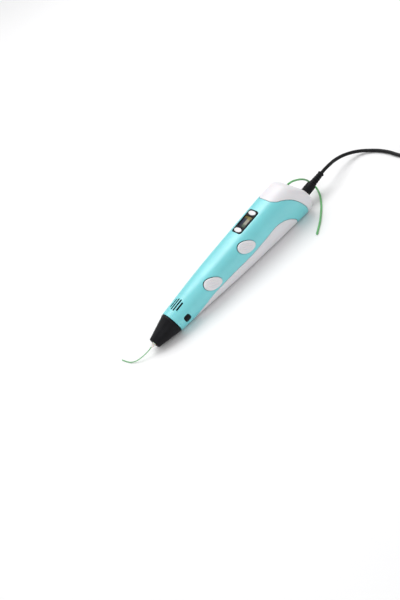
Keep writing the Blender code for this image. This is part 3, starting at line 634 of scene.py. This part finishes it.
def cord_curve(name, points, radius, slot, body, replaced):
    """A round cord along a route in the world's frame."""
    curve = bpy.data.curves.new(name, "CURVE")
    curve.dimensions = "3D"
    curve.bevel_depth = radius * MM
    curve.bevel_resolution = 4
    curve.use_fill_caps = True
    spline = curve.splines.new("POLY")
    spline.points.add(len(points) - 1)
    for point, place in zip(spline.points, points):
        point.co = (*(float(v) * MM for v in place), 1.0)
    return add_piece(name, curve, body, slot, replaced)


def coil_route():
    """Two flat layers of turns: in along the table to the coil's middle, then out again on top."""
    turns = np.arange(round(2 * COIL_TURNS * COIL_STEPS) + 1) / COIL_STEPS
    a = COIL_FROM + 2 * PI * turns
    radius = COIL_INNER + 2 * CORD_RADIUS * np.hypot(turns - COIL_TURNS, 0.05)
    z = CORD_RADIUS + 2 * CORD_RADIUS * soft_step((turns - COIL_TURNS + 0.2) / 0.4)
    return np.stack([COIL_X + radius * np.cos(a), COIL_Y + radius * np.sin(a), z], 1)


def lead_route():
    """Out of the strain relief, down to the table, round the coil, and on to the far plug."""
    exit_point = to_world(RELIEF_END + GAP, 0, JACK_Z)
    c, s = math.cos(BELLY_ANGLE), math.sin(BELLY_ANGLE)
    return [
        exit_point, (exit_point[0] + 5 * c, 0.0, exit_point[2] + 4 * s),
        (133.5, 0.9, 15.1), (140.4, 3, 13), (151.2, 4.4, 9.5), (161.3, 2.8, 6),
        (168.6, -1.2, 3.4), (173.6, -8.3, 2), (176.7, -16.8, 1.6), (177.9, -26.7, 1.6),
        (177.5, -37, 1.6), (178.3, -47, 1.6), *coil_route(), (221.5, -79, 4.4),
        (228.7, -77, 3.6), (234.8, -74, 3), (239.8, -68.9, 2.9), (242.9, -62.8, 3.4),
        (USB_X, USB_Y - 9.3, USB_Z),
    ]


def tail_route():
    """The filament's loose end: out of the rear hole, down beside the plug, and back along the table."""
    start = to_world(180.9, 0, 0)
    return [
        start, (start[0] + 4.5, -0.3, start[2] - 0.7), (97.2, 1.1, 27.2), (103.9, 4.0, 21.2),
        (109.6, 6.7, 14.2), (113, 7.2, 7.6), (113.2, 2.8, 3), (108.2, -4.9, 1.3),
        (99.7, -13.8, 0.98), (92, -20.5, 0.9), (82.3, -27.9, 0.9), (69.9, -35.7, 0.9),
    ]


def strand_route():
    """The melted strand: out of the nozzle and down onto the table."""
    return [
        to_world(-GAP, 0, 0), (-96.0, 0.1, 5.6), (-99.2, 0.7, 4.6), (-104.4, 2.6, 3.0),
        (-109.4, 5.9, 1.4), (-112.6, 10.2, 0.62), (-114.3, 15.2, 0.42), (-115.2, 20, 0.42),
    ]


def cords():
    """The lead, the filament's loose end and the melted strand."""
    on_the_lead = lead_pieces()
    route = smooth_route(lead_route(), 1.5)
    nodes = ("power_cord", "cord_coil", "power_cord_end")
    lead = cord_curve("power_lead", route, CORD_RADIUS, "cord_black", "pen_body", nodes)
    tail = ("filament_loose_end", tail_route(), FILAMENT_RADIUS, "pen_body", "filament_tail")
    strand = ("melted_strand", strand_route(), STRAND_RADIUS, "nozzle", "extruded_strand")
    for row, length, stiffness in ((tail, TAIL_LENGTH, "stiff"), (strand, STRAND_LENGTH, "limp")):
        name, points, radius, body, node = row
        route = smooth_route(points, 0.8)
        piece = cord_curve(name, route, radius, "filament_green", body, (node,))


def lead_pieces():
    """The plugs, strain reliefs and tie on the lead."""
    outline = rounded_rectangle((USB_X, USB_Z), USB_WIDE, USB_TALL, 1.6)
    far_body = block(outline, USB_Y, USB_Y + USB_LONG, 0.7)
    black = "black_plastic"
    return [
        put("plug_shell", plug_shape(), black, ("dc_plug",)),
        put("plug_relief", relief_shape(), black, ("plug_strain_relief",)),
        put("far_plug_relief", far_relief_shape(), black, ("usb_plug_relief",), pen=False),
        put("far_plug_body", far_body, black, ("usb_plug_body",), pen=False),
        put("far_plug_sleeve", sleeve_shape(), "steel", ("usb_plug_shell",), pen=False, sharp=30),
        put("lead_tie", tie_shape(), black, ("cord_tie",), pen=False),
    ]


def plug_shape():
    """The barrel plug: its contact in the jack, a groove near its front, and a rounded shoulder."""
    x = PLUG_FACE
    profile = [
        (174.6, 0), (174.6, 1.5), (174.9, 1.85), (175.2, 1.9), (x, 1.9), (x, 4), (x + 0.08, 4.2),
        (x + 0.3, 4.36), (x + 0.6, 4.4), (191.5, 4.36), (191.8, 4.18), (192.3, 4.18), (192.6, 4.36),
        (199.2, 4.25), (199.7, 4.16), (200.1, 3.95), (200.4, 3.6), (200.5, 3.2), (200.5, 0),
    ]
    return lathe(profile, centre=(0, JACK_Z), loop=False, steps=72)


def relief_shape():
    """The tapered strain relief behind the barrel plug, with three grooves and a flange at its end."""
    profile = [(200.8, 0.0), (200.8, 3.0), (201.0, 3.18), (201.3, 3.2), (203.0, 3.15)]
    first, pitch, taper = 203.3, 2.6, 0.055
    for k in range(3):
        at = first + pitch * k
        r = 3.1 - taper * (at - first)
        profile += [(at, r), (at + 0.25, r - 0.5), (at + 1.0, r - 0.55), (at + 1.25, r - 0.08)]
    profile += [
        (211.6, 2.55), (212.3, 2.35), (212.6, 2.45), (212.8, 2.75), (213.2, 2.9), (213.7, 2.85),
        (213.95, 2.6), (RELIEF_END, 2.2), (RELIEF_END, 0),
    ]
    return lathe(profile, centre=(0, JACK_Z), loop=False, steps=64)


def far_relief_shape():
    """The far plug's strain relief, with three grooves."""
    start, pitch, taper = USB_Y - 9.0, 2.2, 0.09
    profile = [(start, 0.0), (start, 2.0), (start + 0.2, 2.2)]
    for k in range(3):
        at = start + 1.4 + pitch * k
        r = 2.3 + taper * (at - start)
        profile += [(at, r), (at + 0.2, r - 0.4), (at + 0.8, r - 0.36), (at + 1.0, r + 0.06)]
    profile += [(USB_Y - 0.6, 3.0), (USB_Y - 0.3, 2.95), (USB_Y - 0.3, 0.0)]
    return lathe(profile, axis="Y", centre=(USB_X, USB_Z), loop=False, steps=48)


def sleeve_shape():
    """The far plug's steel sleeve, open in front, on a tongue that fills its lower half."""
    y = USB_Y + USB_LONG + GAP
    outer = rounded_rectangle((USB_X, USB_Z), 12.0, 4.5, 0.6, steps=6)
    hollow = rounded_rectangle((USB_X, USB_Z + 0.8), 11.2, 2.0, 0.3, steps=6)
    lines = (
        (y, outer), (y + 11.45, outer), (y + 11.7, offset(outer, 0.12)), (y + 11.7, offset(hollow, -0.1)),
        (y + 11.5, hollow), (y + 2.7, hollow),
    )
    return stack([[(px, d, pz) for px, pz in line] for d, line in lines])


def tie_shape():
    """A strip round the coil's bundle of turns."""
    near, far = BUNDLE_MIDDLE - BUNDLE_HALF - 0.8, BUNDLE_MIDDLE + BUNDLE_HALF + 0.3
    thick, top, edge = TIE_THICK, TIE_INSIDE, 0.15
    low, high = (near - thick, far + thick), (0.05, top + thick)
    outer = soften([(low[0], high[0]), (low[1], high[0]), (low[1], high[1]), (low[0], high[1])], 2.0)
    inner = soften([(near, 0.35), (far, 0.35), (far, top), (near, top)], 1.2)
    side = TIE_WIDE / 2
    lines = (
        (-side, offset(outer, edge)), (edge - side, outer), (side - edge, outer), (side, offset(outer, edge)),
        (side, inner), (-side, inner),
    )
    return stack([[(COIL_X + x, COIL_Y + py, pz) for py, pz in line] for x, line in lines], loop=True)


# ---- the shells

def plane(pairs):
    """Pairs on a flat plane in which distances are about true."""
    return np.asarray(pairs) * (1.0, TURN_MM)


def fill_skin(bm, loops):
    """Fill what the loops leave open on the outer wall."""
    fill(bm, loops, SKIN_GRID, lambda p: on_wall(bm, p[:, 0], p[:, 1] / TURN_MM))


def hole_line(outline, from_top, spacing):
    """An opening's outline on the wall, seen from above as (x, y) or from the buttons' side as (x, z)."""
    line = top_to_skin(outline) if from_top else side_to_skin(outline)
    return resample(line, spacing, closed=True)


def cut_hole(bm, line, radius=0.3, undercut=0.0):
    """The rounded edge of an opening, as a loop for fill."""
    pairs, verts = rounded_edge(bm, line, line.mean(0), True, True, radius, back=0.0, undercut=undercut)
    return plane(pairs), verts


def seam(bm, start, end, side):
    """Pairs and vertices along the belly's middle line between two stations, without the ends."""
    x = np.linspace(start, end, max(2, round(abs(end - start) / 1.4)) + 1)[1:-1]
    turn = np.full(len(x), side * PI)
    return np.stack([x, turn], 1), on_wall(bm, x, turn)


def leaf_line():
    """The belly cover's edge on the buttons' side, from its front on the belly's middle to its rear there."""
    line = to_belly_middle(side_to_skin(dense_outline(LEAF_EDGE)))
    return resample(to_belly_middle(line[::-1])[::-1], 1.2)


def cap_line():
    """The rear cap's edge, from the belly's middle over the top and down to it again."""
    line = side_to_skin(dense_outline(CAP_EDGE))
    over = np.linspace(0, line[0, 1], 12)[:-1]
    top = np.stack([station_at(CAP_EDGE[0][0], over), over], 1)
    half = to_belly_middle(np.concatenate([top, line]))
    return resample(np.concatenate([mirrored(half)[:-1], half]), 1.2)


def front_shell():
    """The blue shell, with its vents and the openings for the controls."""
    bm = wall_mesh()
    turn = np.linspace(-PI, PI, 73)
    front_line = np.stack([np.full(len(turn), FRONT), turn], 1)
    front, front_verts = rounded_edge(bm, front_line, (0, 0), True, back=0.0)
    leaf = leaf_line()
    near, near_verts = rounded_edge(bm, leaf, BELLY_CENTRE, True)
    far, far_verts = rounded_edge(bm, mirrored(leaf), (BELLY_CENTRE[0], -BELLY_CENTRE[1]), True)
    cap, cap_verts = rounded_edge(bm, cap_line(), REAR_CENTRE, True)
    runs = [
        (front, front_verts), seam(bm, front[-1][0], near[0][0], 1), (near, near_verts),
        seam(bm, near[-1][0], cap[-1][0], 1), (cap[::-1], cap_verts[::-1]),
        seam(bm, cap[0][0], far[0][0], -1), (far, far_verts), seam(bm, far[-1][0], front[0][0], -1),
    ]
    loops = [(plane(np.concatenate([p for p, _ in runs])), [v for _, verts in runs for v in verts])]
    for y, length in VENTS:
        line = hole_line(rounded_rectangle((VENT_X, VENT_Y + y), length, VENT_WIDTH, 0.6), True, 0.4)
        loops.append(cut_hole(bm, line, 0.18, VENT_UNDERCUT))
    size = (LATCH_LONG + 2 * GAP, LATCH_TALL + 2 * GAP - 0.2)
    loops.append(cut_hole(bm, hole_line(rounded_rectangle((LATCH_X, LATCH_Z), *size, 1.9), False, 0.6), 0.35))
    for x, z, _ in BUTTONS.values():
        outline = oval((x, z), BUTTON_LONG + GAP, BUTTON_SHORT + GAP, BUTTON_TILT)
        loops.append(cut_hole(bm, hole_line(outline, False, 0.8), 0.35))
    window = rounded_rectangle((DISPLAY_X, 0), DISPLAY_LONG + 2 * GAP, DISPLAY_WIDE + 2 * GAP, 2.1)
    loops.append(cut_hole(bm, hole_line(window, True, 0.8)))
    slot = rounded_rectangle((SLIDER_X, 0), 2 * SLIDER_TRAVEL + 4.4, 2.8, 1.3)
    loops.append(cut_hole(bm, hole_line(slot, False, 0.6) * (1, -1)))
    fill_skin(bm, loops)
    thicken(bm)
    put("shell_front", bm, "shell_blue", ("body_shell",))


def screw_circle(x, radius):
    """A circle on the flat belly round a screw's axis."""
    circle = oval((x - HALF_LENGTH, 0), radius, radius, steps=32)
    px, y, _ = np.array([PEN.inverted() @ Vector((*spot, 0)) / MM for spot in circle * MM]).T
    turn = PI
    for _ in range(6):
        station = station_at(px, turn)
        _, _, half, power = section(station)
        turn = PI - np.arcsin(signed_power(-y / half, power / 2))
    return np.stack([station, turn], 1)


def belly_shell():
    """The white belly cover, with a hole and a seat for each of its screws."""
    bm = wall_mesh()
    half = leaf_line()
    back = mirrored(half) + (0, 2 * PI)
    line = np.concatenate([half, back[1:-1]])
    pairs, verts = rounded_edge(bm, line, BELLY_CENTRE, False, True)
    loops = [(plane(pairs), verts)]
    for x in SCREW_X:
        loops.append(cut_hole(bm, screw_circle(x, 2.2), 0.2))
    fill_skin(bm, loops)
    thicken(bm)
    put("shell_belly", bm, "white_plastic", ("belly_cover",))
    for k, x in enumerate(SCREW_X):
        profile = [(1.15, 1.2), (1.15, 2.15), (2.3, 2.15), (2.3, 1.2)]
        seat = lathe(profile, axis="Z", centre=(x - HALF_LENGTH, 0), steps=32)
        put(f"screw_seat_{k + 1}", seat, "white_plastic", pen=False)


def rear_shell():
    """The white rear cap: its wall, a rounded turn onto the rear face, and the face with its two holes."""
    bm = wall_mesh()
    pairs, last = rounded_edge(bm, cap_line(), REAR_CENTRE, False)
    x, turn = pairs.T
    low, high = x.copy(), np.full(len(x), REAR_MID)
    for _ in range(40):
        middle = (low + high) / 2
        points = skin(middle, turn)
        short = points[:, 0] < rear_face(points[:, 2]) - REAR_ROUND
        low, high = np.where(short, middle, low), np.where(short, high, middle)
    ends = np.maximum(low, x + 0.4)
    rows = [skin(x + (ends - x) * k / WALL_ROWS, turn) for k in range(WALL_ROWS + 1)]
    for k in range(1, ROUND_ROWS + 1):
        a = PI / 2 * k / ROUND_ROWS
        station = ends + (REAR_MID - ends) * math.sin(a)
        shrink = 1 - REAR_ROUND * (1 - math.cos(a)) / ROUND_SHRINK
        row = skin(station, turn, shrink, REAR_ROUND * (1 - math.sin(a)))
        row[:, 0] = np.maximum(row[:, 0], rows[-1][:, 0] + 0.02)
        rows.append(row)
    grid = np.array(rows)
    along = np.gradient(grid, axis=0)
    around = np.empty_like(grid)
    around[:, 1:-1] = grid[:, 2:] - grid[:, :-2]
    around[:, 0] = around[:, -1] = grid[:, 1] - grid[:, -2]
    normal = np.cross(around, along)
    normal[0] = tangents(x, turn)[2]
    normal = normal / np.maximum(np.linalg.norm(normal, axis=-1, keepdims=True), 1e-9)
    normal[-1] = face_normal(grid[-1][:, 2])
    for k in range(1, len(rows)):
        made = add_points(bm, grid[k], normal[k])
        quads(bm, last, made, False)
        last = made
    rim = grid[-1]
    # the first and last points are the same place on the belly's middle
    loops = [(rim[:-1, 1:], last[:-1])]
    loops += [face_hole(bm, centre, radius) for centre, radius in ((0, 1.5), (JACK_Z, 2.4))]
    fill(bm, loops, FACE_GRID, lambda p: add_points(bm, on_face(p), face_normal(p[:, 1])))
    thicken(bm)
    put("shell_rear", bm, "white_plastic", ("rear_cap",))


def face_hole(bm, centre, radius, edge=0.35, steps=4):
    """A round hole in the rear face with a rounded edge, as a loop for fill."""
    a = np.linspace(0, 2 * PI, 40, endpoint=False)
    inward = -np.stack([0 * a, np.cos(a), np.sin(a)], 1)
    rows = []
    for inset, depth, c, s in quarter(edge, steps):
        ring = np.stack([(radius + inset) * np.cos(a), centre + (radius + inset) * np.sin(a)], 1)
        out = face_normal(ring[:, 1])
        rows.append(add_points(bm, on_face(ring), out, depth, s * out + c * inward))
    for first, second in zip(rows, rows[1:]):
        quads(bm, first, second, True)
    return ring, rows[-1]


def on_face(yz):
    return np.stack([rear_face(yz[:, 1]), yz[:, 0], yz[:, 1]], 1)


def face_normal(z):
    slope = (rear_face(z + 0.01) - rear_face(z - 0.01)) / 0.02
    return unit(np.stack([np.ones_like(z), 0 * z, -slope], 1))


# ---- nozzle end

def nozzle_end():
    """The black cone, whose sleeve fits in the shell, and the ceramic tip."""
    cone = lathe([
        (3.75, 2.4), (3.75, 3.5), (3.62, 3.9), (3.42, 4.1), (3.4, 4.3), (3.45, 4.6), (3.62, 4.85),
        (3.9, 5.02), (8, 5.9), (14, 7.35), (20, 8.72), (24, 9.62), (24.15, 9.78), (24.3, 9.93),
        (24.55, 10), (25.6, 10), (25.9, 9.9), (26, 9.7), (26, 7.9), (31, 7.9), (31, 6.5),
        (25, 6.5), (23.5, 7.6), (6.2, 3.8), (4.6, 2.4),
    ], steps=112)
    put("nozzle_cone", cone, "black_plastic", ("nozzle_cover",), "nozzle", sharp=50)
    tip = lathe([
        (0, 0.4), (0, 0.75), (0.06, 0.93), (0.2, 1.05), (0.5, 1.18), (1.4, 1.4), (3.4, 1.66),
        (4.9, 1.78), (5.2, 1.85), (6.3, 2), (6.5, 2.1), (9, 2.1), (9, 1.05), (4, 1.05), (2.6, 0.4),
    ], steps=64)
    put("nozzle_tip", tip, "ceramic", ("ceramic_nozzle",), "nozzle")


# ---- controls

def level(height):
    """A flat top at a height."""
    return lambda uv: np.full(len(uv), float(height))


def plate(outer, holes=(), *, low, top, edge, spacing, place, taper=0.0, steps=4, bm=None):
    """A pad over an outline, with a rounded upper edge, whose base is smaller by the taper.

    Top gives heights, and place turns (u, v, height) round. It may be added to another pad's mesh."""
    bm = bmesh.new() if bm is None else bm
    lower, upper = [], []
    for k, line in enumerate([outer, *holes]):
        line = evened(line, spacing)
        foot = offset(line, taper if k == 0 else 0.0)
        base = [bm.verts.new(p) for p in place(foot, level(low)(foot))]
        lower.append((foot, base))
        for inset, depth, _, _ in quarter(edge, steps):
            moved = offset(line, inset if k == 0 else -inset)
            row = [bm.verts.new(p) for p in place(moved, top(moved) - depth)]
            quads(bm, base, row, True)
            base = row
        upper.append((moved, base))
    fill(bm, upper, spacing, lambda p: [bm.verts.new(q) for q in place(p, top(p))])
    fill(bm, lower, spacing * 2, lambda p: [bm.verts.new(q) for q in place(p, level(low)(p))])
    return bm


def evened(line, spacing):
    """Add points along an anticlockwise outline's sides, bowed a little so that no three are in line."""
    made = []
    for a, b in zip(line, np.roll(line, -1, 0)):
        count = max(1, math.ceil(np.linalg.norm(b - a) / spacing))
        out = SIDE_BOW * np.array([b[1] - a[1], a[0] - b[0]])
        made += [a + (b - a) * t + out * t * (1 - t) for t in np.arange(count) / count]
    return np.array(made)


def facing_up(xy, height):
    return np.stack([*xy.T, height], 1)


def facing_buttons_side(xz, height):
    """Points from (x, z) and a height towards the buttons' side."""
    return np.stack([xz[:, 0], -height, xz[:, 1]], 1)


def facing_far_side(xz, height):
    """Points from (x, z) and a height towards the far side."""
    return facing_buttons_side(xz, -height)


def side_height(uv):
    """How far the outer wall stands out to the side at (x, z)."""
    px, z = uv.T
    middle, rise, half, power = section(px)
    share = np.clip((z - middle) / rise, -1, 1)
    return half * (1 - np.abs(share) ** power) ** (1 / power)


def side_buttons():
    """Oval caps with a raised rim round a dish, and faint ridges in the dish along its length."""
    for node, (x, z, deep) in BUTTONS.items():
        c, s = math.cos(BUTTON_TILT), math.sin(BUTTON_TILT)

        def top(uv):
            du, dv = uv[:, 0] - x, uv[:, 1] - z
            u, v = du * c + dv * s, -du * s + dv * c
            share = np.sqrt((u / BUTTON_LONG) ** 2 + (v / BUTTON_SHORT) ** 2)
            dish = soft_step((0.84 - share) / 0.30)
            ridges = 0.2 * np.cos(v * 2 * PI / 1.9) * soft_step((0.62 - share) / 0.2)
            return side_height(uv) + BUTTON_PROUD - 0.5 * dish + ridges

        outline = oval((x, z), BUTTON_LONG, BUTTON_SHORT, BUTTON_TILT, steps=96)
        place = facing_buttons_side
        cap = plate(outline, low=-deep, top=top, edge=0.45, spacing=0.36, place=place, taper=2.2)
        put(f"{node.split('_')[0]}_cap", cap, "white_plastic", (node,), node)


def latch_cap():
    """The nozzle's release: a square button with a raised middle."""
    outline = rounded_rectangle((LATCH_X, LATCH_Z), LATCH_LONG, LATCH_TALL, 1.7)

    def top(uv):
        reach = np.hypot((uv[:, 0] - LATCH_X) / LATCH_LONG, (uv[:, 1] - LATCH_Z) / LATCH_TALL) * 2
        return side_height(uv) - 0.05 + 0.45 * soft_step((0.85 - reach) / 0.35)

    cap = plate(outline, low=6.4, top=top, edge=0.4, spacing=0.3, place=facing_buttons_side)
    put("latch_cap", cap, "black_plastic", ("nozzle_latch",), "latch")


def display():
    """The black frame flush with the shell, the glass in it, and a crowned key at each end."""
    outline = rounded_rectangle((DISPLAY_X, 0), DISPLAY_LONG + 0.4, DISPLAY_WIDE + 0.3, 1.9)
    along, across = KEY_ALONG + 0.12, KEY_ACROSS + 0.12
    holes = [rounded_rectangle((DISPLAY_X, 0), 11.8, 8.6, 0.5)]
    holes += [oval((DISPLAY_X + side * KEY_OFFSET, 0), along, across, steps=48) for side in (-1, 1)]
    top = level(DISPLAY_TOP)
    flat = plate(outline, holes, low=8.5, top=top, edge=0.15, spacing=0.8, place=facing_up)
    put("display_frame", flat, "black_plastic", ("display_bezel",))

    def crown(uv):
        return 9.9 + 0.08 * (1 - (uv[:, 1] / 4.3) ** 2)

    outline = rounded_rectangle((DISPLAY_X, 0), 11.5, 8.3, 0.4)
    glass = plate(outline, low=4.7, top=crown, edge=0.2, spacing=0.8, place=facing_up)
    put("display_glass", glass, "screen_glass", ("display_module",))
    for node, side in (("temp_down_key", -1), ("temp_up_key", 1)):
        x = DISPLAY_X + side * KEY_OFFSET

        def top(uv):
            share = ((uv[:, 0] - x) / KEY_ALONG) ** 2 + (uv[:, 1] / KEY_ACROSS) ** 2
            return DISPLAY_TOP + 0.45 - 0.3 * share

        outline = oval((x, 0), KEY_ALONG, KEY_ACROSS, steps=64)
        key = plate(outline, low=7.4, top=top, edge=0.3, spacing=0.4, place=facing_up)
        put(f"{node}_cap", key, "white_plastic", (node,), node)


def slider_knob():
    """A ridged pad on a stem, on the far side."""
    x = SLIDER_X

    def top(uv):
        ridges = 0.22 * np.cos((uv[:, 0] - x) * 2 * PI / 1.3) * soft_step((2.5 - abs(uv[:, 0] - x)) / 0.5)
        return 14.95 + ridges * soft_step((2.2 - abs(uv[:, 1])) / 0.5)

    outline = rounded_rectangle((x, 0), 6.4, 5.2, 1.2)
    pad = plate(outline, low=13.8, top=top, edge=0.4, spacing=0.22, place=facing_far_side)
    outline = rounded_rectangle((x, 0), 3.2, 2.0, 0.2)
    plate(outline, low=10.3, top=level(14.3), edge=0.1, spacing=0.8, place=facing_far_side, bm=pad)
    put("slider_knob", pad, "white_plastic", ("speed_slider",), "speed_slider")


# ---- floor, light and camera

def floor():
    """A pale floor that runs out far behind the pen."""
    corners = ((-9, -9), (9, -9), (9, 9), (-9, 9))
    bm = stack([[(x, y, z) for x, y in corners] for z in (-0.01, 0.0)])
    mesh = bpy.data.meshes.new("floor")
    bmesh.ops.recalc_face_normals(bm, faces=bm.faces)
    bm.to_mesh(mesh)
    bm.free()
    thing = add_object("floor", mesh)
    thing.location.z = -0.0001
    mesh.materials.append(finish("floor_white", (0.86, 0.86, 0.865), 0.7, mottle=0.01, cloud=3, depth=0))


def lamp(name, place, size, power):
    """A round soft light that shines on the pen."""
    light = bpy.data.lights.new(name, "AREA")
    light.shape, light.size, light.energy = "DISK", size, power
    thing = add_object(name, light)
    thing.location = place
    thing.rotation_euler = (Vector(LIGHTS_AIM) - Vector(place)).to_track_quat("-Z", "Y").to_euler()


def light_and_camera():
    scene = bpy.context.scene
    scene.view_settings.view_transform = "Standard"
    world = bpy.data.worlds.new("studio")
    world.use_nodes = True
    background = world.node_tree.nodes["Background"]
    background.inputs["Color"].default_value = (1.0, 1.0, 1.0, 1.0)
    background.inputs["Strength"].default_value = 0.68
    scene.world = world
    lamp("key", (-0.45, 0.62, 0.85), 0.6, 1.2)
    lamp("sheen", (0.26, 0.43, 1.00), 0.9, 7.0)
    lamp("fill", (-0.5, -0.7, 0.8), 0.9, 1.7)
    camera = bpy.data.cameras.new("camera")
    camera.lens, camera.sensor_fit, camera.clip_start = LENS, "VERTICAL", 0.01
    camera.sensor_width = camera.sensor_height = SENSOR
    forward = Vector(CAMERA_FORWARD).normalized()
    right = Vector(CAMERA_RIGHT)
    right = (right - forward * right.dot(forward)).normalized()
    up = right.cross(forward)
    turn = Matrix((right, up, -forward)).transposed()
    scene.camera = add_object("camera", camera)
    scene.camera.matrix_world = Matrix.Translation(CAMERA_PLACE) @ turn.to_4x4()


front_shell()
belly_shell()
rear_shell()
nozzle_end()
side_buttons()
latch_cap()
display()
slider_knob()
cords()
slot_of = {part["node"]: part["material_slot"] for part in frame["record"]["subparts"]}
for node, thing in frame["nodes"].items():
    for place in thing.material_slots:
        place.material = FINISHES[slot_of[node]]
floor()
light_and_camera()
bpy.context.view_layer.update()
